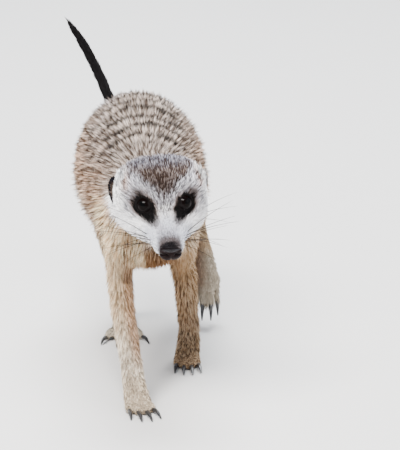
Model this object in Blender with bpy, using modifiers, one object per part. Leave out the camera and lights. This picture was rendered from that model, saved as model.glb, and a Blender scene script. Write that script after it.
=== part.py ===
"""A meerkat walking, life size, as a still museum model.

It faces -Y with +Z up, and stands on the floor on three feet while the left hind foot swings forward.
The whole body is blended from lofted limbs, then parted with thin cuts into the parts a person would name.
Lengths are written in millimetres and become metres through MM.
"""

import math

import bmesh
import bpy
from mathutils import Matrix, Vector

MM = 0.001

# How the solids are made
GAP = 0.3               # clear space between neighbouring pieces
VOXEL = 1.1             # grid on which the limbs are blended into one body
BODY_TRIANGLES = 2700   # what the blended body is reduced to
LOFT_SIDES = 20
SPAN_STEPS = 4          # sections made between two stations

# Head, in its own frame: aside to its left, forward from between the ears, up from the middle of the skull
HEAD_PLACE = Vector((3.5, 33.0, 130.0))
HEAD_PITCH = 25.0       # nose down
HEAD_YAW = 4.5          # nose towards the animal's left
HEAD_ROLL = 2.0         # left side up
EYE_RADIUS = 5.2
EYE_PLACE = Vector((11.1, 23.6, 8.6))
EYE_AXIS = Vector((0.52, 0.55, 0.65))   # the way it looks, in the head's frame
EYE_HOLLOW = 6.4        # radius of the hollow that bares the eye
EAR_PLACE = Vector((25.0, 0.5, 0.0))
EAR_RADII = (2.3, 6.6, 9.6)            # half thickness, half depth, half height
EAR_OPEN = 38.0                         # how far the ear's cup turns to the front
EAR_LEAN = 8.0
EAR_TILT = 26.0                         # how far the ear's top lies back
NOSE_PLACE = Vector((0, 54.6, -1.2))
NOSE_RADII = (6.4, 4.8, 5.2)

# Feet
TOE_RADIUS = 2.9
FORE_CLAW = 12.0
HIND_CLAW = 8.5
CLAW_RADIUS = 1.25
CLAW_SIDES = 6

# Tail: its middle line and half thickness, root to tip
TAIL_LINE = (
    ((-1, 232, 121), 13.0),
    ((-2, 250, 115), 10.0),
    ((-3, 288, 103), 7.0),
    ((-4.5, 328, 97), 5.5),
    ((-9.2, 362, 104.5), 4.7),
    ((-17.8, 390, 122.5), 4.4),
    ((-26.8, 408, 138), 4.0),
    ((-34.8, 420, 149.5), 2.9),
    ((-41, 428, 157), 0.9),
)

# Trunk: back from the front claws, aside, middle height, half width, up, down
SPINE = (
    (38, 0, 104, 13, 15, 17),
    (50, 0, 104, 24, 24, 28),
    (70, 0, 105, 29, 33, 31),
    (97, 0, 105, 32, 38, 30),
    (126, -0.5, 105, 36.5, 44, 30),
    (156, -0.5, 104, 40, 51, 29),
    (184, -1, 105, 40.5, 51.5, 30),
    (206, -2, 107, 37.5, 46.5, 28),
    (226, -1, 112, 29, 35, 24),
    (241, -1, 117, 20, 21.5, 19),
    (251, -1, 119, 12, 11, 12),
)

# Joints of the legs: aside to the left, back from the front claws, up.
# toe_drop is how far the toes' tips are under the toe base, aim and spread are the toes' headings in degrees.
LEGS = {
    "fore_right": {
        "shoulder": (-17, 54, 104), "elbow": (-18.7, 64, 69), "wrist": (-12.5, 26, 14),
        "toe_base": (-10.3, 11.5, 2.4), "toe": 12.0, "toe_drop": 1.0, "aim": 9.0, "spread": 5.0, "row": 4.0,
    },
    "fore_left": {
        "shoulder": (19, 62, 104), "elbow": (20.5, 92, 71), "wrist": (27, 114, 18),
        "toe_base": (24.6, 100, 2.7), "toe": 12.0, "toe_drop": 1.5, "aim": -2.0, "spread": 4.0, "row": 3.9,
    },
    "hind_right": {
        "hip": (-17, 200, 112), "knee": (-22, 170, 76), "ankle": (-10, 200, 18), "heel": (-10, 204, 5.2),
        "toe_base": (-11.8, 161, 3.4), "toe": 15.0, "toe_drop": 1.6, "aim": -1.0, "spread": 14.0, "row": 5.0,
    },
    "hind_left": {
        "hip": (19, 200, 112), "knee": (32, 168, 86), "ankle": (38.5, 210, 63), "heel": (38.5, 216, 62),
        "toe_base": (43.5, 187.5, 29.5), "toe": 18.0, "toe_drop": 14.8, "aim": -6.0, "spread": 6.0, "row": 4.1,
    },
}

# Plane cuts: a point on the plane and the way the piece lies
CUTS = {
    "head": ((0, 38, 128), (0, -0.85, 0.53)),
    "neck": ((0, 64, 118), (0, -0.70, 0.71)),
    "tail": ((0, 240, 118), (0, 0.94, -0.34)),
}

# Leg cuts. Seen from the side, a leg is taken off round its hub and down to the floor between the corners.
# Seen from the front, the inner wall of the cut stands at wall above turn, and at low_wall below low_turn.
LEG_CUTS = {
    "fore_right": {
        "hub": (57, 92), "radius": 23, "wall": -14.5, "turn": 86, "low_wall": 7.0, "low_turn": 62,
        "corners": ((79, 66), (62, 30), (44, -40), (-14, -40), (-14, 24), (36, 72)),
    },
    "fore_left": {
        "hub": (67, 93), "radius": 24, "wall": 14.5, "turn": 86, "low_wall": 7.5, "low_turn": 62,
        "corners": ((107, 78), (128, 22), (128, -40), (72, -40), (72, 42), (56, 70)),
    },
    "hind_right": {
        "hub": (197, 97), "radius": 28, "wall": -17.0, "turn": 88, "low_wall": 10.0, "low_turn": 60,
        "corners": ((220, 56), (220, -40), (141, -40), (141, 30), (152, 58), (158, 84)),
    },
    "hind_left": {
        "hub": (199, 100), "radius": 28, "wall": 19.0, "turn": 90, "low_wall": 15.0, "low_turn": 60,
        "corners": ((232, 74), (232, -40), (148, -40), (153, 66), (160, 83)),
    },
}

COLOURS = {
    "fur_grizzled": ((0.42, 0.36, 0.29), 0.9),
    "fur_pale": ((0.62, 0.57, 0.48), 0.9),
    "fur_black": ((0.03, 0.027, 0.025), 0.85),
    "eye_brown": ((0.025, 0.014, 0.008), 0.08),
    "nose_skin": ((0.05, 0.032, 0.028), 0.45),
    "claw_horn": ((0.045, 0.045, 0.05), 0.35),
}


def clear_scene():
    for obj in list(bpy.data.objects):
        bpy.data.objects.remove(obj, do_unlink=True)


def make_materials():
    made = {}
    for name, (colour, roughness) in COLOURS.items():
        mat = bpy.data.materials.new(name)
        mat.use_nodes = True
        shader = mat.node_tree.nodes["Principled BSDF"]
        shader.inputs["Base Color"].default_value = (*colour, 1.0)
        shader.inputs["Roughness"].default_value = roughness
        shader.inputs["Metallic"].default_value = 0.0
        mat.diffuse_color = (*colour, 1.0)
        made[name] = mat
    return made


def object_from(bm, name):
    bm.normal_update()
    bmesh.ops.recalc_face_normals(bm, faces=bm.faces)
    mesh = bpy.data.meshes.new(name)
    bm.to_mesh(mesh)
    bm.free()
    obj = bpy.data.objects.new(name, mesh)
    bpy.context.scene.collection.objects.link(obj)
    return obj


def between(before, start, end, after, t):
    """Catmull-Rom value between start and end, for numbers and vectors alike."""
    return 0.5 * (
        2 * start
        + (end - before) * t
        + (2 * before - 5 * start + 4 * end - after) * t * t
        + (3 * start - before - 3 * end + after) * t * t * t
    )


def smooth_stations(stations, steps):
    """The stations with more between them on a smooth curve.

    A station is (centre, half width, up, down), and may end with its own corner power.
    """
    rows = [(Vector(c), w, u, d, *(corner or (1.0,))) for c, w, u, d, *corner in stations]
    padded = [rows[0]] + rows + [rows[-1]]
    fine = []
    for i in range(1, len(padded) - 2):
        for step in range(steps):
            around = padded[i - 1:i + 3]
            fine.append(tuple(between(*(row[k] for row in around), step / steps) for k in range(5)))
    return fine + [rows[-1]]


def loft(name, stations, side=(1, 0, 0), steps=SPAN_STEPS, sides=LOFT_SIDES, end=0.5):
    """A closed limb through egg-shaped sections square to its path. side is the direction of the half widths.

    end is how far the rounded ends stand out.
    """
    rows = smooth_stations(stations, steps)
    bm = bmesh.new()
    rings = []
    for i, (centre, half_width, up, down, corner) in enumerate(rows):
        along = (rows[min(i + 1, len(rows) - 1)][0] - rows[max(i - 1, 0)][0]).normalized()
        across = Vector(side)
        across = (across - along * across.dot(along)).normalized()
        upward = across.cross(along)
        if upward.z < 0:
            upward = -upward
        ring = []
        for k in range(sides):
            angle = 2 * math.pi * k / sides
            c = math.copysign(abs(math.cos(angle)) ** corner, math.cos(angle))
            s = math.copysign(abs(math.sin(angle)) ** corner, math.sin(angle))
            height = up if s > 0 else down
            ring.append(bm.verts.new((centre + across * c * half_width + upward * s * height) * MM))
        rings.append(ring)
    for a, b in zip(rings, rings[1:]):
        for k in range(sides):
            bm.faces.new((a[k], a[(k + 1) % sides], b[(k + 1) % sides], b[k]))
    for ring, row, inner in ((rings[0], rows[0], rows[1]), (rings[-1], rows[-1], rows[-2])):
        outward = (row[0] - inner[0]).normalized()
        pole = bm.verts.new((row[0] + outward * end * min(row[1], row[2])) * MM)
        for k in range(sides):
            bm.faces.new((ring[k], ring[(k + 1) % sides], pole))
    return object_from(bm, name)


def round_loft(name, points, sides=LOFT_SIDES, steps=SPAN_STEPS, end=0.5):
    """A limb with round sections, from (centre, radius) pairs."""
    return loft(name, [(c, r, r, r) for c, r in points], side=(1, 0.01, 0), steps=steps, sides=sides, end=end)


def head_turn():
    yaw = Matrix.Rotation(math.radians(HEAD_YAW), 3, "Z")
    pitch = Matrix.Rotation(math.radians(HEAD_PITCH), 3, "X")
    roll = Matrix.Rotation(math.radians(-HEAD_ROLL), 3, "Y")
    return yaw @ pitch @ roll


def in_head(point):
    """A point of the head's own frame (aside, forward, up) in the body's frame, in millimetres."""
    aside, forward, up = point
    return HEAD_PLACE + head_turn() @ Vector((aside, -forward, up))


def ball(name, place, radii):
    """An ellipsoid with its axes along the model's own."""
    bm = bmesh.new()
    bmesh.ops.create_icosphere(bm, subdivisions=3, radius=1.0)
    bm.transform(Matrix.Translation(Vector(place) * MM) @ Matrix.Diagonal((*(r * MM for r in radii), 1.0)))
    return object_from(bm, name)


def head_ellipsoid(name, place, radii, own_turn=None, fineness=3):
    """An ellipsoid whose radii are aside, forward and up in the head's frame."""
    bm = bmesh.new()
    bmesh.ops.create_icosphere(bm, subdivisions=fineness, radius=1.0)
    turn = head_turn() @ own_turn if own_turn else head_turn()
    bm.transform(Matrix.Diagonal((*(r * MM for r in radii), 1.0)))
    bm.transform(Matrix.Translation(in_head(place) * MM) @ turn.to_4x4())
    return object_from(bm, name)


def mirrored(place, side):
    return Vector((place[0] * side, place[1], place[2]))


def head_shapes():
    """Skull, muzzle, cheeks, brows and whisker pads, which are blended with the neck."""
    # forward, half width, height of the widest place, top, bottom, and corners filled (under 1) or cut (over 1)
    profile = (
        (-16, 19.0, -3.0, 10.5, -12.0, 0.85),
        (-9, 25.5, -3.0, 20.0, -17.0, 0.78),
        (0, 28.3, -3.0, 26.0, -18.5, 0.75),
        (10, 29.0, -4.5, 27.3, -18.5, 0.77),
        (19, 26.8, -6.0, 24.2, -17.5, 0.85),
        (27, 22.5, -6.0, 17.1, -15.5, 0.98),
        (34, 16.5, -5.0, 10.6, -13.0, 1.0),
        (41, 11.6, -3.5, 6.8, -10.6, 1.0),
        (48, 8.8, -3.0, 4.6, -9.2, 0.95),
        (54, 6.8, -2.5, 3.0, -7.6, 0.95),
    )
    stations = []
    for forward, half_width, widest, top, bottom, corner in profile:
        middle = in_head((0, forward, widest))
        stations.append((middle, half_width, top - widest, widest - bottom, corner))
    across = in_head((1, 0, 0)) - in_head((0, 0, 0))
    shapes = [loft("skull", stations, side=across)]
    for side in (-1, 1):
        shapes.append(head_ellipsoid("cheek", (side * 16.5, 9.5, -6.5), (12.0, 15, 12.0)))
        shapes.append(head_ellipsoid("brow", (side * 12.5, 18.0, 13.5), (8.0, 7.0, 6.5)))
        shapes.append(head_ellipsoid("whisker_pad", (side * 5.0, 46.0, -3.6), (4.8, 8.0, 4.8)))
    return shapes


def trunk_shapes():
    rows = [((aside, back, z), w, u, d) for back, aside, z, w, u, d in SPINE]
    return [loft("trunk", rows)]


def neck_shapes():
    rows = [
        (in_head((0, 0, 1)), 23, 17, 18),
        (in_head((0, -11, -1)), 24, 14.5, 20),
        ((1, 57, 121), 26, 16, 24),
        ((0.5, 72, 115), 28, 23, 27),
        ((0, 90, 110), 30, 29, 27),
    ]
    return [loft("neck", rows)]


def toe_lines(leg):
    """For each of the four toes: its start, knuckle and tip, and its heading."""
    base = Vector(leg["toe_base"])
    lines = []
    for i in range(4):
        place = i - 1.5
        yaw = math.radians(leg["aim"] + place * leg["spread"])
        heading = Vector((math.sin(yaw), -math.cos(yaw), 0))
        start = base + Vector((place * leg["row"], abs(place) * 2.0, 0))
        reach = leg["toe"] * (1.0 if abs(place) < 1 else 0.82)
        drop = leg["toe_drop"]
        flat = math.sqrt(max(reach * reach - drop * drop, 1.0))
        tip = start + heading * flat - Vector((0, 0, drop))
        knuckle = start.lerp(tip, 0.5) + Vector((0, -0.6, 1.3))
        lines.append((start, knuckle, tip, heading))
    return lines


def toe_shapes(name, leg):
    shapes = []
    for start, knuckle, tip, heading in toe_lines(leg):
        points = ((start, TOE_RADIUS + 0.4), (knuckle, TOE_RADIUS), (tip, TOE_RADIUS - 0.3))
        shapes.append(round_loft(name + "_toe", points, sides=12))
    return shapes


def foreleg_shapes(name, leg, side):
    shoulder, elbow, wrist, toe_base = (Vector(leg[k]) for k in ("shoulder", "elbow", "wrist", "toe_base"))
    upper = [
        (shoulder + Vector((side * -1, 6, 17)), 10, 19, 19),
        (shoulder, 11, 18.5, 18.5),
        (shoulder.lerp(elbow, 0.55), 10, 14.5, 14.5),
        (elbow, 8.3, 10.5, 10.5),
    ]
    forearm = [
        (elbow, 8.3, 10.5, 10.5),
        (elbow.lerp(wrist, 0.3) - Vector((side * -0.8, 0, 0)), 7.8, 8.8, 8.8),
        (elbow.lerp(wrist, 0.75), 7.0, 6.9, 6.9),
        (wrist, 7.2, 6.8, 6.8),
    ]
    paw = [
        (wrist, 7.2, 6.8, 6.8),
        (wrist.lerp(toe_base, 0.5), 8.1, 5.6, 5.6),
        (toe_base, 8.4, 4.4, 4.4),
    ]
    blade = ball(name + "_blade", shoulder + Vector((side * 1, -9, 7)), (9, 15, 17))
    return [blade, loft(name + "_arm", upper), loft(name + "_forearm", forearm), loft(name + "_paw", paw)]


def hindleg_shapes(name, leg):
    hip, knee, ankle, heel, toe_base = (Vector(leg[k]) for k in ("hip", "knee", "ankle", "heel", "toe_base"))
    thigh = [
        (hip + Vector((0, 4, 8)), 14, 22, 22),
        (hip.lerp(knee, 0.45), 13.5, 21, 21),
        (knee, 9.5, 13, 13),
    ]
    shank = [
        (knee, 9.5, 13, 13),
        (knee.lerp(ankle, 0.4), 8.2, 10.5, 10.5),
        (knee.lerp(ankle, 0.8), 6.0, 7.0, 7.0),
        (ankle, 5.8, 6.4, 6.4),
        (ankle.lerp(heel, 0.7), 5.4, 6.0, 6.0),
    ]
    foot = [
        (heel, 5.2, 5.6, 5.6),
        (heel.lerp(toe_base, 0.3), 6.4, 6.6, 5.4),
        (heel.lerp(toe_base, 0.7), 8.0, 5.4, 4.8),
        (toe_base, 9.0, 4.4, 4.4),
    ]
    return [loft(name + "_thigh", thigh), loft(name + "_shank", shank), loft(name + "_foot", foot)]


def leg_shapes(name, leg):
    side = 1 if "left" in name else -1
    limbs = hindleg_shapes(name, leg) if "hip" in leg else foreleg_shapes(name, leg, side)
    return limbs + toe_shapes(name, leg)


def made_plain(obj):
    """Turns what the modifiers make into the object's own mesh."""
    evaluated = obj.evaluated_get(bpy.context.evaluated_depsgraph_get())
    mesh = bpy.data.meshes.new_from_object(evaluated)
    old = obj.data
    obj.modifiers.clear()
    obj.data = mesh
    bpy.data.meshes.remove(old)


def blended(shapes):
    """One smooth closed body from shapes that overlap."""
    bm = bmesh.new()
    for obj in shapes:
        bm.from_mesh(obj.data)
        bpy.data.objects.remove(obj, do_unlink=True)
    body = object_from(bm, "body")
    remesh = body.modifiers.new("blend", "REMESH")
    remesh.mode = "VOXEL"
    remesh.voxel_size = VOXEL * MM
    made_plain(body)
    smooth = body.modifiers.new("smooth", "SMOOTH")
    smooth.factor = 0.5
    smooth.iterations = 6
    made_plain(body)
    reduce = body.modifiers.new("reduce", "DECIMATE")
    triangles = sum(len(p.vertices) - 2 for p in body.data.polygons)
    reduce.ratio = min(1.0, BODY_TRIANGLES / triangles)
    made_plain(body)
    return body


def combined(obj, cutter, operation):
    """A Boolean whose result becomes the object's own mesh."""
    step = obj.modifiers.new("cut", "BOOLEAN")
    step.solver = "EXACT"
    step.operation = operation
    step.object = cutter
    made_plain(obj)


def cutting_box(point, outward, grow):
    """A wide box whose one wall is the cut."""
    outward = Vector(outward).normalized()
    along = Vector((0, 1, 0)) if abs(outward.y) < 0.5 else Vector((1, 0, 0))
    square = outward.cross(along).normalized()
    deep = 500
    middle = Vector(point) + outward * (deep - grow) / 2
    turn = Matrix((along, square, outward)).transposed().to_4x4()
    bm = bmesh.new()
    bmesh.ops.create_cube(bm, size=1.0)
    size = Matrix.Diagonal((800 * MM, 800 * MM, (deep + grow) * MM, 1.0))
    bm.transform(Matrix.Translation(middle * MM) @ turn @ size)
    return object_from(bm, "cutter")


def prism(outline, low, high, across):
    """An outline drawn square to an axis and carried along it from low to high. across is 0 for X and 1 for Y."""
    bm = bmesh.new()
    ends = []
    for at in (low, high):
        corners = []
        for along, up in outline:
            place = (at, along, up) if across == 0 else (along, at, up)
            corners.append(bm.verts.new(Vector(place) * MM))
        ends.append(corners)
    count = len(outline)
    for k in range(count):
        bm.faces.new((ends[0][k], ends[0][(k + 1) % count], ends[1][(k + 1) % count], ends[1][k]))
    bm.faces.new(ends[0])
    bm.faces.new(ends[1])
    return object_from(bm, "cutter")


def grown_corners(corners, hub, grow):
    """The corners pushed away from the leg's middle, which lies under the hub."""
    moved = []
    for along, up in corners:
        out = Vector((along - sum(c[0] for c in corners) / len(corners), 0))
        out.y = 1.0 if up > hub[1] else 0.0
        moved.append((along + math.copysign(1.3 * grow, out.x), up + grow * out.y))
    return moved


def leg_space(hub, radius, wall, turn, low_wall, low_turn, corners, grow):
    """The space round a leg that is taken off the trunk."""
    out = -1 if wall < 0 else 1
    slant = 1.5 * grow
    from_front = (
        (wall - out * slant, 200),
        (wall - out * slant, turn),
        (low_wall - out * slant, low_turn),
        (low_wall - out * slant, -50),
        (out * 120, -50),
        (out * 120, 200),
    )
    arc = []
    for k in range(15):
        angle = math.radians(-12 + 204 * k / 14)
        reach = radius + grow
        arc.append((hub[0] + reach * math.cos(angle), hub[1] + reach * math.sin(angle)))
    from_side = list(reversed(arc)) + grown_corners(corners, hub, grow)
    space = prism(from_front, -60, 300, 1)
    side = prism(from_side, -150, 150, 0)
    combined(space, side, "INTERSECT")
    bpy.data.objects.remove(side, do_unlink=True)
    return space


def parted(obj, name, make_cutter, *shape, **sizes):
    """Takes the piece within the cutter off obj, leaving a thin gap, and returns the piece."""
    piece = obj.copy()
    piece.data = obj.data.copy()
    piece.name = name
    bpy.context.scene.collection.objects.link(piece)
    for target, operation, grow in ((piece, "INTERSECT", 0.0), (obj, "DIFFERENCE", GAP)):
        cutter = make_cutter(*shape, **sizes, grow=grow)
        combined(target, cutter, operation)
        bpy.data.objects.remove(cutter, do_unlink=True)
    return piece


def without_crumbs(obj):
    """Keeps the biggest shell, where a cut left crumbs beside it."""
    bm = bmesh.new()
    bm.from_mesh(obj.data)
    shells = []
    left = set(bm.verts)
    while left:
        todo = [left.pop()]
        shell = list(todo)
        while todo:
            for edge in todo.pop().link_edges:
                for vert in edge.verts:
                    if vert in left:
                        left.remove(vert)
                        todo.append(vert)
                        shell.append(vert)
        shells.append(shell)
    shells.sort(key=len)
    for shell in shells[:-1]:
        bmesh.ops.delete(bm, geom=shell, context="VERTS")
    bm.to_mesh(obj.data)
    bm.free()


def flattened(body):
    """Cuts the pads flat at floor level."""
    box = cutting_box((0, 200, 0), (0, 0, 1), 0.0)
    combined(body, box, "INTERSECT")
    bpy.data.objects.remove(box, do_unlink=True)


def claw(name, tip, heading, length, lifted, grow=0.0):
    """A curved claw out of a toe's tip. A lifted foot's claws hang more."""
    root = tip - heading * (1.2 + grow) + Vector((0, 0, 0.9))
    low = tip.z - (8.0 if lifted else 0.0)
    end_height = low if lifted else 0.75
    end = tip + heading * length * (0.55 if lifted else 0.93)
    end.z = end_height
    middle = root.lerp(end, 0.55) + Vector((0, 0, 1.3)) + heading * (0.8 if lifted else 0.0)
    points = (
        (root, CLAW_RADIUS + 0.15 + grow),
        (middle, CLAW_RADIUS - 0.15 + grow),
        (end, 0.38 + grow),
    )
    return round_loft(name, points, sides=CLAW_SIDES, steps=2, end=0.6)


def leg_claws(leg_name, leg):
    """(claw, its socket) for each toe, outer toe to inner toe from the animal's right."""
    hind = "hip" in leg
    lifted = Vector(leg["toe_base"]).z > 15
    length = HIND_CLAW if hind else FORE_CLAW
    pairs = []
    for number, (start, knuckle, tip, heading) in enumerate(toe_lines(leg), 1):
        front = tip + heading * (TOE_RADIUS - 1.6)
        name = f"claw_{leg_name}_{number}"
        pairs.append((
            claw(name, front, heading, length, lifted),
            claw("socket", front, heading, length, lifted, grow=GAP),
        ))
    return pairs


def ear_turn(side):
    open_to_front = Matrix.Rotation(math.radians(-side * EAR_OPEN), 3, "Z")
    lean = Matrix.Rotation(math.radians(side * EAR_LEAN), 3, "Y")
    tilt = Matrix.Rotation(math.radians(-EAR_TILT), 3, "X")
    return tilt @ open_to_front @ lean


def ear(side):
    """A small cupped ear, and the socket that takes it."""
    name = "ear_left" if side > 0 else "ear_right"
    place = mirrored(EAR_PLACE, side)
    shell = head_ellipsoid(name, place, EAR_RADII, ear_turn(side))
    thick, deep, high = EAR_RADII
    cup_place = place + Vector((side * 3.0, 3.4, 0.3))
    cup = head_ellipsoid("cup", cup_place, (thick * 1.25, deep * 0.72, high * 0.70), ear_turn(side), 2)
    combined(shell, cup, "DIFFERENCE")
    bpy.data.objects.remove(cup, do_unlink=True)
    socket = head_ellipsoid("socket", place, tuple(r + GAP for r in EAR_RADII), ear_turn(side))
    return shell, socket


def cut_sockets(piece, sockets):
    for socket in sockets:
        combined(piece, socket, "DIFFERENCE")
        bpy.data.objects.remove(socket, do_unlink=True)


def make_head_pieces(head, neck):
    """Eyes, ears and nose, with their places cut in the head, and the ears' in the neck too."""
    pieces = {}
    sockets = []
    for side, word in ((-1, "right"), (1, "left")):
        place = mirrored(EYE_PLACE, side)
        pieces["eye_" + word] = head_ellipsoid("eye_" + word, place, (EYE_RADIUS,) * 3)
        sockets.append(head_ellipsoid("socket", place, (EYE_RADIUS + GAP,) * 3))
        hollow = place + mirrored(EYE_AXIS, side).normalized() * (EYE_HOLLOW + 0.4)
        sockets.append(head_ellipsoid("socket", hollow, (EYE_HOLLOW,) * 3, fineness=2))
        shell, socket = ear(side)
        pieces["ear_" + word] = shell
        combined(neck, socket, "DIFFERENCE")
        sockets.append(socket)
    pieces["nose"] = head_ellipsoid("nose", NOSE_PLACE, NOSE_RADII, fineness=3)
    sockets.append(head_ellipsoid("socket", NOSE_PLACE, tuple(r + GAP for r in NOSE_RADII)))
    cut_sockets(head, sockets)
    return pieces


def part_leg(body, name, leg):
    """The three lengths of a leg, with claws, taken off the body."""
    hind = "hip" in leg
    whole = parted(body, name, leg_space, **LEG_CUTS[name])
    upper_end = Vector(leg["knee" if hind else "elbow"])
    lower_end = Vector(leg["ankle" if hind else "wrist"])
    first = Vector(leg["hip" if hind else "shoulder"])
    toes = Vector(leg["toe_base"])
    words = ("thigh", "shank", "foot") if hind else ("upper_arm", "forearm", "paw")
    bend = ((upper_end - first).normalized() + (lower_end - upper_end).normalized()).normalized()
    lower = parted(whole, "lower", cutting_box, upper_end, bend)
    bend = ((lower_end - upper_end).normalized() + (toes - lower_end).normalized()).normalized()
    foot = parted(lower, "foot", cutting_box, lower_end, bend)
    pieces = {f"{name}_{words[0]}": whole, f"{name}_{words[1]}": lower, f"{name}_{words[2]}": foot}
    pairs = leg_claws(name, leg)
    cut_sockets(foot, [socket for made, socket in pairs])
    for made, socket in pairs:
        pieces[made.name] = made
    return pieces


def part_tail(body):
    """The tail in three lengths."""
    base = parted(body, "tail_base", cutting_box, *CUTS["tail"])
    middle = parted(base, "tail_middle", cutting_box, TAIL_LINE[3][0], (0, 0.99, 0.05))
    tip = parted(middle, "tail_tip", cutting_box, TAIL_LINE[5][0], (-0.2, 0.6, 0.7))
    return {"tail_base": base, "tail_middle": middle, "tail_tip": tip}


def slot_of(name):
    if name.startswith("eye"):
        return "eye_brown"
    if name.startswith("claw"):
        return "claw_horn"
    if name == "nose":
        return "nose_skin"
    if name.startswith("ear") or name == "tail_tip":
        return "fur_black"
    if name.startswith(("fore", "hind")):
        return "fur_pale"
    return "fur_grizzled"


def finish_pieces(pieces, materials):
    """Names, materials, one collection, and the origin under the middle of the object's box."""
    group = bpy.data.collections.new("meerkat")
    bpy.context.scene.collection.children.link(group)
    for obj in pieces.values():
        without_crumbs(obj)
    corners = [v.co for obj in pieces.values() for v in obj.data.vertices]
    low = Vector(min(c[k] for c in corners) for k in range(3))
    high = Vector(max(c[k] for c in corners) for k in range(3))
    shift = Vector((-(low.x + high.x) / 2, -(low.y + high.y) / 2, -low.z))
    for name, obj in pieces.items():
        obj.name = name
        obj.data.name = name
        obj.data.transform(Matrix.Translation(shift))
        obj.data.materials.clear()
        obj.data.materials.append(materials[slot_of(name)])
        for used in list(obj.users_collection):
            used.objects.unlink(obj)
        group.objects.link(obj)
    return shift


def main():
    clear_scene()
    materials = make_materials()
    shapes = trunk_shapes() + neck_shapes() + head_shapes() + [round_loft("tail", TAIL_LINE)]
    for name, leg in LEGS.items():
        shapes += leg_shapes(name, leg)
    body = blended(shapes)
    flattened(body)
    pieces = {}
    for name, leg in LEGS.items():
        pieces.update(part_leg(body, name, leg))
    head = parted(body, "head", cutting_box, *CUTS["head"])
    neck = parted(body, "neck", cutting_box, *CUTS["neck"])
    pieces.update({"head": head, "neck": neck})
    pieces.update(make_head_pieces(head, neck))
    pieces.update(part_tail(body))
    pieces["trunk"] = body
    shift = finish_pieces(pieces, materials)
    print("the front claws' line lies at", [round(v * 1000, 3) for v in shift], "mm")


if __name__ == "__main__":
    main()
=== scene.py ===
"""A life-size, still meerkat in mid stride, dressed in skin, coat, eyes, nose, claws and whiskers."""
import math

import bmesh
import bpy
import numpy as np
from bpy.props import FloatProperty, FloatVectorProperty, PointerProperty
from mathutils import Matrix, Vector


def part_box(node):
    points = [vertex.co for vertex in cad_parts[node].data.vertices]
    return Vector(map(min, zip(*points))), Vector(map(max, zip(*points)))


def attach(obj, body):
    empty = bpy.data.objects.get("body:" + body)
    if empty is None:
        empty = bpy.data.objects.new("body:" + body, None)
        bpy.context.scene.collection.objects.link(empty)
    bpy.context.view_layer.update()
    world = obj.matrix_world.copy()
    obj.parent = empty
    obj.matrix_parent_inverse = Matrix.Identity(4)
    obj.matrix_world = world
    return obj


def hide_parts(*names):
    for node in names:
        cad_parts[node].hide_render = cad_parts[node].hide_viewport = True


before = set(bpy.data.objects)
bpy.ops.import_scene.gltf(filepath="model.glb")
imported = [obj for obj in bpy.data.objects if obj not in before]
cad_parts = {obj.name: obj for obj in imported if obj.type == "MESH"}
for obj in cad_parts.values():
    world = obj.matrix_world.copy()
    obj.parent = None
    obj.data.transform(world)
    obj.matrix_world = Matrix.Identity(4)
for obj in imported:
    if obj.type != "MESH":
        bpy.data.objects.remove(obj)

bl_info = {
    "name": "Meerkat",
    "version": (1, 0, 0),
    "blender": (4, 5, 0),
    "location": "View3D > Sidebar > Meerkat",
    "description": "Dresses the packed solids of a still meerkat",
    "category": "Object",
}

MM = 0.001

# The solids' own measures, in millimetres: aside to the animal's left, back from the front claws, up
HEAD_PLACE = Vector((3.5, 33.0, 130.0))
HEAD_PITCH = 25.0
HEAD_YAW = 4.5
HEAD_ROLL = 2.0
EYE_PLACE = Vector((11.1, 23.6, 8.6))
EYE_RADIUS = 5.2
EYE_AXIS = Vector((0.45, 0.58, 0.67))
EYE_INNER = (0.70, 0.62, 0.45)          # from an eye's middle to its inner corner: inward, forward, down
EYE_BULGE = 0.30
EYE_FILL = 0.3                          # how far the flesh is filled round an eye's ball
LID_RISE = 0.55                         # how far the lids' edge stands over the ball
LID_OPEN = 56                           # how far from the eye's axis the lids open, in degrees
LID_REACH = 13                          # how far round an eye's middle the skin is laid as lids
EAR_PLACE = Vector((25.0, 0.5, 0.0))
EAR_RADII = (2.3, 6.6, 9.6)
EAR_SPREAD = 1.04                       # the ear's outline over its solid
EAR_FILL = (0.5, 0.6, 0.6)              # how far the flesh is filled round an ear
EAR_SINK = 0.9                          # how far the filling lies inward of the ear
EAR_HOLLOW = 1.5                        # the depth of the ear's hollow
EAR_BACK = 2.4                          # how far its back bulges
EAR_RIM = 1.15                          # how far its rim rolls over
EAR_OPEN = 38.0
EAR_LEAN = 8.0
EAR_TILT = 26.0
NOSE_PLACE = Vector((0, 54.6, -1.2))
NOSE_RADII = (6.4, 4.8, 5.2)
NOSE_GROWTH = 0.15                      # how much bigger the nose pad is than its solid
MOUTH_LINE = ((29.0, -5.8), (34.5, -6.8), (41.0, -7.0), (47.0, -6.8), (54.0, -6.0))     # forward and up
MOUTH_DEPTH = 0.75
MOUTH_WIDTH = 0.6
FACE_PITCH = (0.766, 0.643)             # cosine and sine of 40 degrees, by which the face looks up

LEGS = ("fore_right", "fore_left", "hind_right", "hind_left")
LEG_PARTS = {"fore": ("upper_arm", "forearm", "paw"), "hind": ("thigh", "shank", "foot")}
FLESH = ["head", "neck", "trunk", "tail_base", "tail_middle", "tail_tip"]
FLESH += [f"{leg}_{part}" for leg in LEGS for part in LEG_PARTS[leg[:4]]]
EARS = ["ear_left", "ear_right"]

SKIN_VOXEL = 1.0        # size of the skin's faces, mm
SKIN_ROUNDS = 14        # how often the skin is evened out
NEAR_EYE = 10.5         # the skin's faces are small within this many mm of an eye's middle,
NEAR_MUZZLE = 27        # and rather small farther forward than this in the head's frame
GROWTH = 0.6            # how far the solids are grown so that they meet, mm
FLOOR_GAP = 0.25        # how far over the floor the soles' skin stays, mm
HAIR_GAP = 0.00015      # how far over the floor the hair stays, metres
BAND_PITCH = 0.0132     # from one dark row across the back to the next, metres
BAKE_PATCH = 0.003      # a tuft's share of its coat's texture
GRAIN = 7               # seed of all that is random

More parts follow.
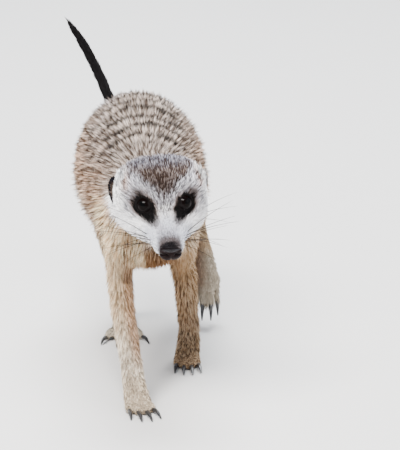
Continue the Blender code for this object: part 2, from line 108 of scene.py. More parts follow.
# Tufts: strands, seed, how far the strands gather to the tip, and their spacing in widths of a strand
TUFTS = {"fine": (4, 21, 0.4, 0.7), "short": (5, 22, 0.6, 0.7), "long": (6, 23, 0.75, 0.66)}

# How a tuft's lift, length and width vary: the least and greatest share, and the seed
TUFT_RANGES = (("lift", 0.55, 1.55, 5), ("length", 0.7, 1.25, 11), ("width", 0.75, 1.25, 13))
DARK_BELOW = 0.36       # a lock whose number is below this is dark where the coat is ticked,
PALE_ABOVE = 0.61       # and one whose number is above this has a pale tip
MOST_TRIANGLES = 200000

# Where the camera stands, in the solids' own measures, metres, and the way it looks, in degrees
CAMERA_PLACE = (-0.10225, -1.82824, 0.60788)
CAMERA_AZIMUTH = -4.0
CAMERA_ELEVATION = 15.0
CAMERA_LENS = 259.83
CAMERA_SENSOR = 36.0


def head_turn():
    """The turn of the head's frame: its roll, then its pitch, then its yaw."""
    yaw = Matrix.Rotation(math.radians(HEAD_YAW), 3, "Z")
    pitch = Matrix.Rotation(math.radians(HEAD_PITCH), 3, "X")
    roll = Matrix.Rotation(math.radians(-HEAD_ROLL), 3, "Y")
    return yaw @ pitch @ roll


HEAD_TURN = np.array(head_turn())


def in_head(point):
    """A point of the head's own frame (aside, forward, up) in the body's measures."""
    aside, forward, up = point
    return tuple(HEAD_TURN @ np.array((aside, -forward, up), float) + np.array(HEAD_PLACE))


def from_head(points):
    """Many such points, one to a row, in the body's measures."""
    return (points * (1, -1, 1)) @ HEAD_TURN.T + np.array(HEAD_PLACE)


def head_measures(co):
    """Aside, forward and up in the head's frame for each point."""
    return ((co - np.array(HEAD_PLACE)) @ HEAD_TURN) * (1, -1, 1)


def face_height(head):
    """How high on the face each point of the head's frame lies, across the way the face looks."""
    return head[:, 2] * FACE_PITCH[0] - head[:, 1] * FACE_PITCH[1]


def body_shift():
    """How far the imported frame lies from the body's measures, from the nose's place, in millimetres."""
    low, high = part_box("nose")
    middle = (np.array(low) + np.array(high)) / 2
    return middle / MM - np.array(in_head(NOSE_PLACE))


SHIFT = body_shift()


# Lines that the coat follows. Each station: its place, half the body's thickness there, the coat's depth, the
# tufts' length and width in millimetres, and their lift in degrees
SPINE_LINE = (
    (in_head((0, 58, -1.5)), 5, 0.3, 1.3, 0.30, 10),
    (in_head((0, 46, -1)), 9, 0.4, 1.7, 0.32, 10),
    (in_head((0, 34, 0)), 14, 0.6, 2.3, 0.34, 12),
    (in_head((0, 18, 2)), 23, 0.9, 3.2, 0.36, 14),
    (in_head((0, 2, 2)), 26, 1.2, 4.2, 0.38, 15),
    (in_head((0, -10, -1)), 24, 1.9, 5.6, 0.42, 14),
    ((1, 60, 118), 25, 2.6, 7.4, 0.33, 17),
    ((0, 80, 109), 30, 2.9, 8.6, 0.34, 17),
    ((0, 112, 108), 36, 3.0, 9.4, 0.35, 17),
    ((-0.5, 156, 113), 43, 3.1, 9.8, 0.35, 17),
    ((-1, 190, 114), 43, 3.1, 9.8, 0.35, 17),
    ((-2, 215, 116), 34, 3.0, 9.4, 0.35, 17),
    ((-1.5, 236, 119), 22, 2.8, 8.8, 0.34, 16),
    ((-2, 252, 115), 10.5, 2.4, 7.5, 0.34, 13),
    ((-3, 288, 103), 7.0, 1.8, 6.5, 0.42, 9),
    ((-4.5, 328, 97), 5.5, 1.4, 6.0, 0.40, 8),
    ((-9.2, 362, 104.5), 4.7, 1.2, 6.0, 0.38, 7),
    ((-17.8, 390, 122.5), 4.4, 1.1, 6.0, 0.38, 7),
    ((-26.8, 408, 138), 4.0, 1.0, 6.0, 0.38, 6),
    ((-34.8, 420, 149.5), 2.9, 0.7, 5.0, 0.36, 5),
    ((-41, 428, 157), 0.9, 0.2, 3.0, 0.32, 3),
)
LINES = {
    "spine": SPINE_LINE,
    "fore_right": (
        ((-17, 54, 104), 19, 2.6, 8.2, 0.36, 17), ((-18.7, 64, 69), 11.5, 1.8, 6.4, 0.35, 16),
        ((-12.5, 26, 14), 7.5, 0.9, 3.8, 0.32, 13), ((-10.3, 11.5, 3.2), 8, 0.6, 2.4, 0.31, 10),
        ((-8, 0, 2), 8, 0.4, 1.7, 0.28, 9),
    ),
    "fore_left": (
        ((19, 62, 104), 19, 2.6, 8.2, 0.36, 17), ((20.5, 92, 71), 11.5, 1.8, 6.4, 0.35, 16),
        ((27, 114, 18), 7.5, 0.9, 4.0, 0.32, 13), ((24.6, 100, 3.5), 8, 0.6, 2.4, 0.31, 10),
        ((24.2, 88, 2), 8, 0.4, 1.7, 0.28, 9),
    ),
    "hind_right": (
        ((-17, 200, 112), 22, 3.0, 9.2, 0.36, 16), ((-22, 170, 76), 14, 2.2, 7.0, 0.35, 15),
        ((-10, 200, 18), 7, 1.0, 4.0, 0.33, 13), ((-11.8, 161, 4), 9, 0.6, 2.6, 0.31, 10),
        ((-12, 147, 2), 9, 0.4, 1.7, 0.28, 9),
    ),
    "hind_left": (
        ((19, 200, 112), 22, 3.0, 9.2, 0.36, 16), ((32, 168, 86), 14, 2.2, 7.0, 0.35, 15),
        ((38.5, 210, 63), 7, 1.0, 4.0, 0.33, 13), ((43.5, 187.5, 29.5), 9, 0.6, 2.6, 0.31, 10),
        ((42, 176, 15), 9, 0.4, 1.7, 0.28, 9),
    ),
}
LEG_BIAS = 1.12         # how much nearer than the spine a leg's line has to be for a point to be the leg's
HANG = 0.42             # how much the trunk's coat hangs down


# ---------------------------------------------------------------- colours and nodes

def linear(code):
    """An sRGB hex code as a linear colour."""
    values = [int(code[i:i + 2], 16) / 255 for i in (1, 3, 5)]
    return np.array([v / 12.92 if v <= 0.04045 else ((v + 0.055) / 1.055) ** 2.4 for v in values])


def rgba(code):
    """The same with full cover, for a node's socket."""
    return (*linear(code), 1.0)


def add_node(tree, kind, *values, take=None, **settings):
    """Adds a node and gives its first open output, or the one that take names.

    kind is the node's type, and may be followed by its operation. The values fill or link the open inputs
    in turn, and a dictionary's values do so by name.
    """
    kind, _, operation = kind.partition(" ")
    if operation:
        settings["operation"] = operation
    node = tree.nodes.new(kind)
    for key, value in settings.items():
        setattr(node, key, value)
    inputs = [socket for socket in node.inputs if socket.enabled]
    pairs = []
    for socket, value in zip(inputs, values):
        if isinstance(value, dict):
            pairs += [(node.inputs[key], given) for key, given in value.items()]
        else:
            pairs.append((socket, value))
    for socket, value in pairs:
        if isinstance(value, bpy.types.NodeSocket):
            tree.links.new(value, socket)
        else:
            socket.default_value = value
    if take:
        return node.outputs[take]
    return next((socket for socket in node.outputs if socket.enabled), None)


def new_material(name, roughness, specular=0.5):
    """A material, its nodes, its shader, and the place on the piece, in metres, that its patterns follow."""
    mat = bpy.data.materials.new(name)
    mat.use_nodes = True
    tree = mat.node_tree
    shader = tree.nodes["Principled BSDF"]
    shader.inputs["Roughness"].default_value = roughness
    shader.inputs["Specular IOR Level"].default_value = specular
    return mat, tree, shader, add_node(tree, "ShaderNodeTexCoord", take="Object")


def finish_material(tree, shader, colour, height=None, strength=0.0, depth=0.0):
    """Links the shader to its colour and, where a height is given, to a relief of that depth in metres."""
    tree.links.new(colour, shader.inputs["Base Color"])
    if height is not None:
        relief = add_node(tree, "ShaderNodeBump", {"Height": height, "Strength": strength, "Distance": depth})
        tree.links.new(relief, shader.inputs["Normal"])


# ---------------------------------------------------------------- mesh arrays

def placed(name, data):
    """A new object with that data, in the scene."""
    obj = bpy.data.objects.new(name, data)
    bpy.context.scene.collection.objects.link(obj)
    return obj


def plain_object(name, points, faces, values=None):
    """An object from points in metres, faces of any kind, and named values for its points."""
    mesh = bpy.data.meshes.new(name)
    mesh.from_pydata(points, [], faces)
    for key, value in (values or {}).items():
        set_values(mesh, key, value)
    return placed(name, mesh)


def mesh_object(name, co, faces, values=None):
    """An object from points in the body's measures, triangles, and named values for its points."""
    mesh = bpy.data.meshes.new(name)
    faces = np.asarray(faces)
    mesh.vertices.add(len(co))
    mesh.vertices.foreach_set("co", ((co + SHIFT) * MM).astype(np.float32).ravel())
    mesh.loops.add(faces.size)
    mesh.loops.foreach_set("vertex_index", faces.astype(np.int32).ravel())
    mesh.polygons.add(len(faces))
    mesh.polygons.foreach_set("loop_start", np.arange(0, faces.size, faces.shape[1], dtype=np.int32))
    mesh.update(calc_edges=True)
    mesh.validate()
    for key, value in (values or {}).items():
        set_values(mesh, key, value)
    return placed(name, mesh)


def set_values(mesh, key, value):
    """Stores one number, a direction or a colour for each point of a mesh."""
    value = np.asarray(value, dtype=np.float32)
    if value.ndim == 1:
        mesh.attributes.new(key, "FLOAT", "POINT").data.foreach_set("value", value)
    elif value.shape[1] == 4:
        mesh.attributes.new(key, "FLOAT_COLOR", "POINT").data.foreach_set("color", value.ravel())
    else:
        mesh.attributes.new(key, "FLOAT_VECTOR", "POINT").data.foreach_set("vector", value.ravel())


def arrays_of(mesh):
    """Points in the body's measures and triangles of a mesh."""
    co = np.empty(len(mesh.vertices) * 3, dtype=np.float32)
    mesh.vertices.foreach_get("co", co)
    mesh.calc_loop_triangles()
    tris = np.empty(len(mesh.loop_triangles) * 3, dtype=np.int32)
    mesh.loop_triangles.foreach_get("vertices", tris)
    return co.reshape(-1, 3).astype(float) / MM - SHIFT, tris.reshape(-1, 3)


def bmesh_arrays(bm):
    """The points and triangles of a bmesh, which is freed."""
    bmesh.ops.triangulate(bm, faces=bm.faces)
    bm.verts.index_update()
    co = np.array([vert.co[:] for vert in bm.verts])
    tris = np.array([[vert.index for vert in face.verts] for face in bm.faces])
    bm.free()
    return co, tris


def joined(pieces):
    """Several pieces' points and triangles as one mesh's."""
    starts = np.cumsum([0] + [len(co) for co, tris in pieces])
    faces = [tris + start for start, (co, tris) in zip(starts, pieces)]
    return np.vstack([co for co, tris in pieces]), np.vstack(faces)


def ball_tris(rings, sides):
    """The triangles of a ball whose points are a pole, rings of as many points as sides, and a pole."""
    tris = []
    last = 1 + (rings - 1) * sides
    for j in range(sides):
        k = (j + 1) % sides
        tris.append((0, 1 + j, 1 + k))
        for i in range(rings - 2):
            a, b = 1 + i * sides + j, 1 + i * sides + k
            tris += [(a, a + sides, b), (b, a + sides, b + sides)]
        tris.append((last, last - sides + k, last - sides + j))
    return np.array(tris)


def unit(vectors):
    """Vectors, one or one to a row, made 1 long."""
    return vectors / np.maximum(np.linalg.norm(vectors, axis=-1, keepdims=True), 1e-9)


def point_normals(co, tris):
    """The way out of the mesh at each point."""
    a, b, c = co[tris[:, 0]], co[tris[:, 1]], co[tris[:, 2]]
    face = np.cross(b - a, c - a)
    total = np.zeros_like(co)
    for k in range(3):
        for corner in range(3):
            total[:, k] += np.bincount(tris[:, corner], weights=face[:, k], minlength=len(co))
    return unit(total)


def neighbour_mean(values, tris):
    """Each point's mean over its neighbours on a closed mesh of triangles."""
    start = np.concatenate((tris[:, 0], tris[:, 1], tris[:, 2]))
    end = np.concatenate((tris[:, 1], tris[:, 2], tris[:, 0]))
    many = len(values)
    count = np.maximum(np.bincount(start, minlength=many), 1)
    if values.ndim == 1:
        return np.bincount(start, weights=values[end], minlength=many) / count
    totals = [np.bincount(start, weights=column[end], minlength=many) for column in values.T]
    return np.column_stack([total / count for total in totals])


def smoothed(values, tris, rounds, share=0.5):
    """Evens out values over the mesh. share is one number, or one for each point."""
    share = np.asarray(share)
    if share.ndim == 1 and values.ndim == 2:
        share = share[:, None]
    for _ in range(rounds):
        values = values + (neighbour_mean(values, tris) - values) * share
    return values


def step(low, high, value):
    """A smooth step from 0 at low to 1 at high."""
    t = np.clip((value - low) / (high - low), 0, 1)
    return t * t * (3 - 2 * t)


def bump(value, width):
    """1 where the value is 0, falling off within about the width."""
    return np.exp(-(value / width) ** 2)


def distance(*gaps):
    """Each point's distance from a place, from its gaps along three ways."""
    return np.linalg.norm(np.column_stack(gaps), axis=1)


def along_skin(ways, normals):
    """Ways with what points out of the skin taken off."""
    return ways - normals * (ways * normals).sum(1)[:, None]


def ripple(co, size, seed):
    """Smooth seeded noise between about -1 and 1, with forms of the given size in millimetres."""
    rng = np.random.default_rng(GRAIN + seed)
    total = np.zeros(len(co))
    for _ in range(10):
        way = unit(rng.normal(size=3)) * 2 * math.pi / (size * rng.uniform(1.4, 3.0))
        total += np.sin(co @ way + rng.uniform(0, 6.28))
    return total / 3.2


# ---------------------------------------------------------------- the lines the coat follows

def along_line(line, co, reference):
    """Each point's distance in a line's half thicknesses, the line's way and values, and a flat place."""
    places = np.array([station[0] for station in line], float)
    values = np.array([station[1:] for station in line], float)
    ways = np.empty_like(places)
    ways[1:-1] = unit(places[2:] - places[:-2])
    ways[0] = unit(places[1] - places[0])
    ways[-1] = unit(places[-1] - places[-2])
    lengths = np.linalg.norm(np.diff(places, axis=0), axis=1)
    starts = np.concatenate(((0,), np.cumsum(lengths)))
    best = np.full(len(co), 1e9)
    way = np.zeros_like(co)
    got = np.zeros((len(co), values.shape[1] - 1))
    run = np.zeros(len(co))
    foot = np.zeros_like(co)
    for k in range(len(line) - 1):
        edge = places[k + 1] - places[k]
        t = np.clip((co - places[k]) @ edge / (edge @ edge), 0, 1)
        near = places[k] + t[:, None] * edge
        gap = np.linalg.norm(co - near, axis=1)
        here = values[k] * (1 - t[:, None]) + values[k + 1] * t[:, None]
        ratio = gap / here[:, 0]
        closer = ratio < best
        best[closer] = ratio[closer]
        way[closer] = (ways[k] * (1 - t[:, None]) + ways[k + 1] * t[:, None])[closer]
        got[closer] = here[closer, 1:]
        run[closer] = (starts[k] + t * lengths[k])[closer]
        foot[closer] = near[closer]
    way = unit(way)
    first = unit(reference - way * (way @ np.array(reference, float))[:, None])
    second = np.cross(way, first)
    out = co - foot
    angle = np.arctan2((out * second).sum(1), (out * first).sum(1))
    unwrap = np.column_stack((angle / (2 * math.pi) + 0.5, run / starts[-1]))
    return best, way, got, unwrap


def ear_tuft(head):
    """1 in the middle of the pale tuft in front of each ear, and 0 away from it."""
    aside, forward, up = head.T
    return step(6.5, 3.0, distance(np.abs(aside) - 23.2, (forward - 6.0) * 0.9, (up - 13.0) * 0.8))


def coat_fields(co, normals):
    """What the coat follows at each point of the skin, with lengths in mm and the lift in degrees."""
    total = np.zeros(len(co))
    comb = np.zeros_like(co)
    values = np.zeros((len(co), 4))
    ratios = []
    unwraps = []
    for name, line in LINES.items():
        on_leg = name != "spine"
        ratio, way, got, unwrap = along_line(line, co, (0, -1, 0.2) if on_leg else (0, 0, 1))
        share = 1 / (ratio ** 6 + 0.02)
        total += share
        comb += way * share[:, None]
        values += got * share[:, None]
        ratios.append(ratio * (LEG_BIAS if on_leg else 1.0))
        unwraps.append(unwrap)
    depth, length, width, lift = (values / total[:, None]).T
    owner = np.argmin(ratios, axis=0)
    spine = owner == 0
    head = head_measures(co)
    aside, forward, up = head.T
    wide = np.abs(aside)
    tuft = ear_tuft(head) * spine
    hang = np.where(spine & (forward < -6) & (co[:, 1] < 250), HANG, 0.0)
    cheek = spine * step(10, 22, wide) * step(-14, 0, forward) * step(6, -4, up)
    comb = unit(comb) - np.array((0, 0, 1.0)) * hang[:, None]
    comb = comb + np.array((0, 0, -0.55)) * cheek[:, None]
    out = unit((HEAD_TURN @ np.array(((-0.15, -0.3, 0.93), (0.15, -0.3, 0.93))).T).T)
    comb = comb + (out[(aside > 0).astype(int)] - comb) * np.clip(tuft, 0, 1)[:, None]
    back = co[:, 1]
    shoulder = spine * step(45, 60, back) * step(150, 110, back) * step(0.35, -0.1, normals[:, 2])
    fringe = spine * step(50, 66, back) * step(205, 150, back) * step(0.45, 0.8, np.abs(normals[:, 0]))
    by_ear = distance(wide - EAR_PLACE.x, forward - (EAR_PLACE.y + 3.5), up - EAR_PLACE.z)
    before_ear = step(6.5, 3.5, distance(wide - 26, (forward - 11) * 0.6, (up - 7) * 0.8)) * spine
    shorter = 1 - 0.6 * np.maximum(step(8.5, 5.0, by_ear) * spine, 0.75 * before_ear) * (1 - tuft)
    toes = (owner == list(LINES).index("hind_left")) * step(25, 20, co[:, 2])
    length = (length + 2.6 * tuft + 1.2 * shoulder + 2.4 * fringe) * shorter + 3.6 * toes
    raised = 12 * tuft + 5 * shoulder + 7 * fringe - 5 * before_ear * (1 - tuft)
    return {
        "comb": unit(along_skin(comb, normals)), "depth": depth, "length": length, "width": width,
        "lift": lift + raised - 4 * toes, "owner": owner, "head": head,
        "unwrap": np.choose(owner[:, None], unwraps),
    }


# ---------------------------------------------------------------- markings

# the belly, chest and inner legs' colours are partly their own darker fur and partly painted shade;
# shaded_leg is painted shade on the far fore leg
COLOURS = {
    "back": "#7B6E64", "rump": "#807A79", "flank": "#977861", "fringe": "#B9A48F", "belly": "#6E4E34",
    "throat": "#D9B88F", "chest": "#6A4A2C", "leg": "#B39979", "leg_low": "#BCAC98", "paw": "#AD9C86",
    "hind_foot": "#A79C8B", "inner_leg_and_shade": "#7A5940", "shaded_leg": "#91714F", "tail": "#94755A",
    "tail_tip": "#0B090A", "crown": "#35271F", "crown_edge": "#52525C", "brow": "#B3B2B9", "cheek": "#F8F7F8",
    "temple": "#84695A", "patch": "#070505", "patch_edge": "#33281F", "muzzle": "#BCBFCA",
    "muzzle_dark": "#6C6A73", "nose_hair": "#3E3533", "lip": "#1E1614", "ear_rim": "#0E0D12",
    "ear_inner": "#4C4039", "ear_tuft": "#F4F4F6",
}
# Half the dark crown's width by the height on the face
CROWN_HEIGHTS = (-20, -10, -4, 0, 5, 8.5, 10.5, 14, 18, 24)
CROWN_HALVES = (1.8, 3.2, 4.0, 5.8, 10.4, 14.0, 16.2, 18.2, 19.8, 21.0)


def painted(colour, *layers):
    """colour with layers over it in turn, each the name of a colour and how much it covers each point."""
    for name, cover in layers:
        colour = colour + (linear(COLOURS[name]) - colour) * np.clip(cover, 0, 1)[:, None]
    return colour


def eye_patch(head, side):
    """How deep in the dark patch round an eye, 1 at its middle and 0 at its edge. It slants to the nose."""
    across = head[:, 0] * side - 11.0
    up = face_height(head) + 12.1
    turn = math.radians(61)
    along = across * math.cos(turn) + up * math.sin(turn)
    over = -across * math.sin(turn) + up * math.cos(turn)
    width = 6.0 + 0.08 * np.clip(along, -12, 4)
    return 1 - np.sqrt((along / 12.2) ** 2 + (over / width) ** 2)


def markings(co, normals, head, owner):
    """The coat's colour, how much dark and pale ticking it has, and how banded it is. The colour holds
    painted shade under the belly and chest, in the hollow under the chin and on the inner and far legs.

    x, y and z are places on the body, so the first two numbers of their steps are millimetres aside, back and
    up. up and outward say how the skin faces, between -1 and 1.
    """
    soft = ripple(co, 9, 1)
    fine = ripple(co, 3.2, 2)
    up = normals[:, 2]
    x, y, z = co.T
    spine = owner == 0
    below = step(-0.35, -0.8, up + 0.12 * soft)
    chest = step(100, 72, y) * step(124, 104, z + 4 * soft) * spine
    # painted shade on the low chest and in the hollow under the chin
    low_chest_shade = chest * step(96, 80, z + 2 * soft)
    hollow = step(17, 9, np.abs(x + 1 - 2 * soft)) * step(76, 60, y) * step(109, 97, z + 2 * soft) * spine
    colour = painted(
        np.tile(linear(COLOURS["flank"]), (len(co), 1)),
        ("back", step(0.1, 0.75, up + 0.1 * soft)),
        ("rump", step(0.35, 0.85, up) * step(165, 215, y + 8 * soft)),
        ("fringe", step(0.15, -0.25, up + 0.1 * soft) * 0.55),
        # the belly's own darker fur, with painted shade where the skin faces down
        ("belly", below),
        ("throat", chest * 0.9),
        # painted shade in dark brown on the low chest, under the chest and in the hollow under the chin
        ("chest", low_chest_shade),
        ("chest", chest * step(-0.2, -0.7, up)),
        ("chest", hollow * 0.8),
    )
    tick = 0.88 - 0.35 * below - 0.35 * low_chest_shade
    band = step(88, 112, y) * step(250, 238, y) * step(-0.35, 0.25, up) * spine
    for k, leg in enumerate(LEGS, 1):
        mine = (owner == k).astype(float)
        hind = leg.startswith("hind")
        outward = normals[:, 0] * (1 if leg.endswith("left") else -1)
        foot = 42 if leg == "hind_left" else 14
        bib = mine * step(122, 104, z) * step(92, 70, y) * (not hind)
        lower = mine * step(88 if hind else 100, 62 if hind else 72, z + 3 * soft)
        inner = (lower if hind else mine * step(112, 96, z)) * step(0.3, -0.5, outward) * step(18, 34, z)
        # painted shade: the legs' inner sides darker, partly their own ochre, and the far fore leg darker and
        # browner with less of the pale bib
        colour = painted(
            colour,
            ("throat", bib * (0.35 if leg == "fore_left" else 0.9)),
            ("leg", lower),
            ("leg_low", mine * step(60, 25, z)),
            ("hind_foot" if hind else "paw", mine * step(foot + 8, foot, z)),
            ("inner_leg_and_shade", inner * 0.8),
            ("shaded_leg", lower * 0.8 * (leg == "fore_left")),
        )
        tick = (tick - 0.15 * bib) * (1 - 0.75 * hind * mine * step(foot + 22, foot + 6, z)) - 0.15 * lower
    colour = painted(colour, ("tail", step(246, 262, y)), ("tail_tip", step(312, 330, y + 3 * soft)))
    tick = tick * step(322, 308, y)
    return (*head_markings(colour, tick, head, soft, fine, spine), band)


def head_markings(colour, tick, head, soft, fine, spine):
    """The white face, the brown wedge of the crown, the dark patches round the eyes and the grey muzzle.

    aside, forward, up and height are places in the head's frame, in millimetres.
    """
    aside, forward, up = head.T
    wide = np.abs(aside)
    height = face_height(head)
    rough = np.random.default_rng(GRAIN + 40).uniform(-1, 1, len(head))
    back_edge = -12 - 8 * step(5, -3, up)
    on_head = spine * step(-3.5, 3.5, forward - back_edge + 0.12 * np.maximum(up - 10, 0) + soft)
    on_head = on_head * step(-34, -26, up + 2 * soft)
    top = on_head * step(2, 9, up + 0.12 * forward) * step(34, 26, forward)
    peppered = top * step(1, 11, height) * step(27, 20, wide)
    temple = top * bump((wide - 21.8 + 0.08 * (height - 4)) / 2.2, 1.0)
    temple = temple * step(-3, 2, height) * step(15, 9, height)
    half = np.interp(height, CROWN_HEIGHTS, CROWN_HALVES)
    crown = on_head * step(4.4, -3.4, wide - half + 2.6 * rough + 1.1 * fine + 0.6 * soft)
    crown = crown * step(-22, -12, height)
    bridge = on_head * step(36, 47, forward + 0.8 * fine + 1.5 * rough) * step(9.0, 4.4, wide)
    by_nose = on_head * step(44.5, 50, forward + 0.4 * fine + 1.0 * rough) * step(8.0, 5.6, wide)
    patches = np.maximum(eye_patch(head, 1), eye_patch(head, -1)) + 0.04 * fine + 0.10 * rough
    facing = on_head * step(-4, 0, up) * step(5, 9, forward)
    low = step(-11, -18, height)
    colour = painted(
        colour,
        ("cheek", on_head),
        ("throat", on_head * step(-16, -20, up + 0.8 * soft) * step(30, 20, forward)),
        ("brow", top * step(26, 22, wide)),
        ("crown_edge", peppered * (0.55 + 0.25 * rough)),
        ("temple", temple * 0.85),
        ("ear_tuft", on_head * ear_tuft(head)),
        ("crown", crown * (0.46 + 0.62 * step(-8, 1, height) + 0.20 * rough)),
        ("crown_edge", crown * step(9.5, 17, height) * 0.85),
        ("back", on_head * step(-1, -10, forward) * step(2, 9, up) * 0.7),
        ("muzzle", on_head * step(30, 38, forward) * step(-6, -2, up) * 0.9),
        ("muzzle_dark", bridge * step(-4, -1.0, up) * 0.7),
        ("nose_hair", by_nose * step(-4.5, -2.0, up) * 0.9),
        ("temple", step(-0.28, 0.0, patches) * facing * (0.5 - 0.4 * low)),
        ("patch_edge", step(-0.12, 0.10 + 0.15 * low, patches) * facing * (1 - 0.25 * low)),
        ("patch", step(0.0 + 0.12 * low, 0.18 + 0.30 * low, patches) * facing),
    )
    tick = tick * (1 - on_head) + on_head * (0.30 + 0.60 * crown + 0.45 * top + 0.3 * temple)
    tick = tick * (1 - facing * step(-0.2, 0.1, patches))
    return np.clip(colour, 0.002, 1), np.clip(tick, 0, 1)


# ---------------------------------------------------------------- skin

def ellipsoid_arrays(place, radii, turn, rings=24, sides=32):
    """Points and triangles of an ellipsoid in the head's frame, and its points on a ball of radius 1."""
    rows = [(0.0, 0.0, 1.0)]
    for i in range(1, rings):
        polar = math.pi * i / rings
        for j in range(sides):
            around = 2 * math.pi * j / sides
            flat = math.sin(polar)
            rows.append((flat * math.cos(around), flat * math.sin(around), math.cos(polar)))
    rows.append((0.0, 0.0, -1.0))
    ball = np.array(rows)
    co = from_head((ball * radii) @ np.array(turn).T + np.array(place))
    # the forward axis is turned round, so the faces are as well
    return co, ball_tris(rings, sides)[:, ::-1], ball


def ear_turn(side):
    """How an ear is turned in the head's frame: leaned, opened to the front, and tilted."""
    open_to_front = Matrix.Rotation(math.radians(side * EAR_OPEN), 3, "Z")
    lean = Matrix.Rotation(math.radians(side * EAR_LEAN), 3, "Y")
    tilt = Matrix.Rotation(math.radians(EAR_TILT), 3, "X")
    return tilt @ open_to_front @ lean


def united_flesh():
    """The solids of flesh, grown a little so that they meet, with the eyes' and ears' places filled."""
    pieces = []
    for name in FLESH:
        bm = bmesh.new()
        bm.from_mesh(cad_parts[name].data)
        bmesh.ops.remove_doubles(bm, verts=bm.verts, dist=1e-6)
        co, tris = bmesh_arrays(bm)
        co = co / MM - SHIFT
        pieces.append((co + point_normals(co, tris) * GROWTH, tris))
    for side in (-1, 1):
        eye = Vector((EYE_PLACE.x * side, EYE_PLACE.y, EYE_PLACE.z))
        pieces.append(ellipsoid_arrays(eye, (EYE_RADIUS + EYE_FILL,) * 3, Matrix.Identity(3))[:2])
        ear = Vector((EAR_PLACE.x * side - side * EAR_SINK, EAR_PLACE.y, EAR_PLACE.z))
        radii = tuple(radius + more for radius, more in zip(EAR_RADII, EAR_FILL))
        pieces.append(ellipsoid_arrays(ear, radii, ear_turn(side))[:2])
    return joined(pieces)


def remeshed(co, tris, voxel):
    """The outline of overlapping shells as one mesh of small even faces."""
    obj = mesh_object("flesh_union", co, tris)
    remesh = obj.modifiers.new("voxels", "REMESH")
    remesh.mode = "VOXEL"
    remesh.voxel_size = voxel * MM
    graph = bpy.context.evaluated_depsgraph_get()
    mesh = bpy.data.meshes.new_from_object(obj.evaluated_get(graph))
    bpy.data.objects.remove(obj, do_unlink=True)
    co, tris = arrays_of(mesh)
    bpy.data.meshes.remove(mesh)
    return biggest_shell(co, tris)


def biggest_shell(co, tris):
    """Drops what isn't joined to the biggest part."""
    label = np.arange(len(co))
    pairs = np.vstack((tris[:, (0, 1)], tris[:, (1, 2)]))
    while True:
        first, second = label[pairs[:, 0]], label[pairs[:, 1]]
        if np.array_equal(first, second):
            break
        low = np.minimum(first, second)
        np.minimum.at(label, first, low)
        np.minimum.at(label, second, low)
        label = label[label]
    keep = label == np.bincount(label).argmax()
    number = np.cumsum(keep) - 1
    tris = tris[keep[tris].all(1)]
    return co[keep], number[tris]


def refined(co, tris, chosen):
    """Splits the edges between chosen points in two."""
    mesh = bpy.data.meshes.new("refining")
    mesh.from_pydata(co.tolist(), [], tris.tolist())
    bm = bmesh.new()
    bm.from_mesh(mesh)
    bpy.data.meshes.remove(mesh)
    edges = [edge for edge in bm.edges if chosen[edge.verts[0].index] and chosen[edge.verts[1].index]]
    bmesh.ops.subdivide_edges(bm, edges=edges, cuts=1, use_grid_fill=True)
    return bmesh_arrays(bm)


def eye_centres():
    """The middles of the right and the left eye."""
    return [np.array(in_head((EYE_PLACE.x * side, EYE_PLACE.y, EYE_PLACE.z))) for side in (-1, 1)]


def eye_frame(side):
    """The way an eye looks, the way towards its inner corner, and up across both."""
    look = unit(HEAD_TURN @ np.array((EYE_AXIS.x * side, -EYE_AXIS.y, EYE_AXIS.z)))
    aside, forward, down = EYE_INNER
    inner = HEAD_TURN @ unit(np.array((-aside * side, -forward, -down)))
    inner = unit(inner - look * (inner @ look))
    return look, inner, np.cross(inner, look) * side


def open_angle(around):
    """How far from an eye's axis the lids open, by the angle from the inner corner, in radians."""
    corner = math.radians(14) * np.maximum(np.cos(around), 0) ** 2
    upper = math.radians(11) * np.maximum(np.sin(around), 0) ** 2
    lower = math.radians(4) * np.maximum(-np.sin(around), 0) ** 2
    return math.radians(LID_OPEN) + corner - upper - lower


def from_lids(way, side):
    """How far each way from an eye's middle lies off the eye's axis, and outside the lids' opening."""
    look, inner, over = eye_frame(side)
    off_axis = np.arccos(np.clip(way @ look, -1, 1))
    return off_axis, off_axis - open_angle(np.arctan2(way @ over, way @ inner))


def with_lids(co):
    """Lays the skin round each eye as lids: under the ball inside the opening, just over it at the edge."""
    co = co.copy()
    for side, centre in zip((-1, 1), eye_centres()):
        out = co - centre
        reach = np.linalg.norm(out, axis=1)
        near = reach < LID_REACH
        reach = reach[near]
        way = out[near] / np.maximum(reach, 1e-6)[:, None]
        off_axis, outside = from_lids(way, side)
        inside = step(0.02, -0.06, outside)
        fade = step(0.0, math.radians(36), outside)
        own = np.clip(reach, EYE_RADIUS - 1.0, LID_REACH)
        lid = EYE_RADIUS + LID_RISE + 0.10 * bump(outside - 0.06, 0.09)
        target = lid * (1 - fade) + own * fade
        target = target * (1 - inside) + (EYE_RADIUS - 1.4) * inside
        share = step(LID_REACH, 10.5, reach) * step(math.radians(118), math.radians(98), off_axis)
        co[near] = centre + way * (reach * (1 - share) + target * share)[:, None]
    return co


def mouth_groove(head, width):
    """1 along the closed mouth's line and 0 away from it."""
    forward, up = zip(*MOUTH_LINE)
    return bump(head[:, 2] - np.interp(head[:, 1], forward, up), width) * step(29, 33, head[:, 1])


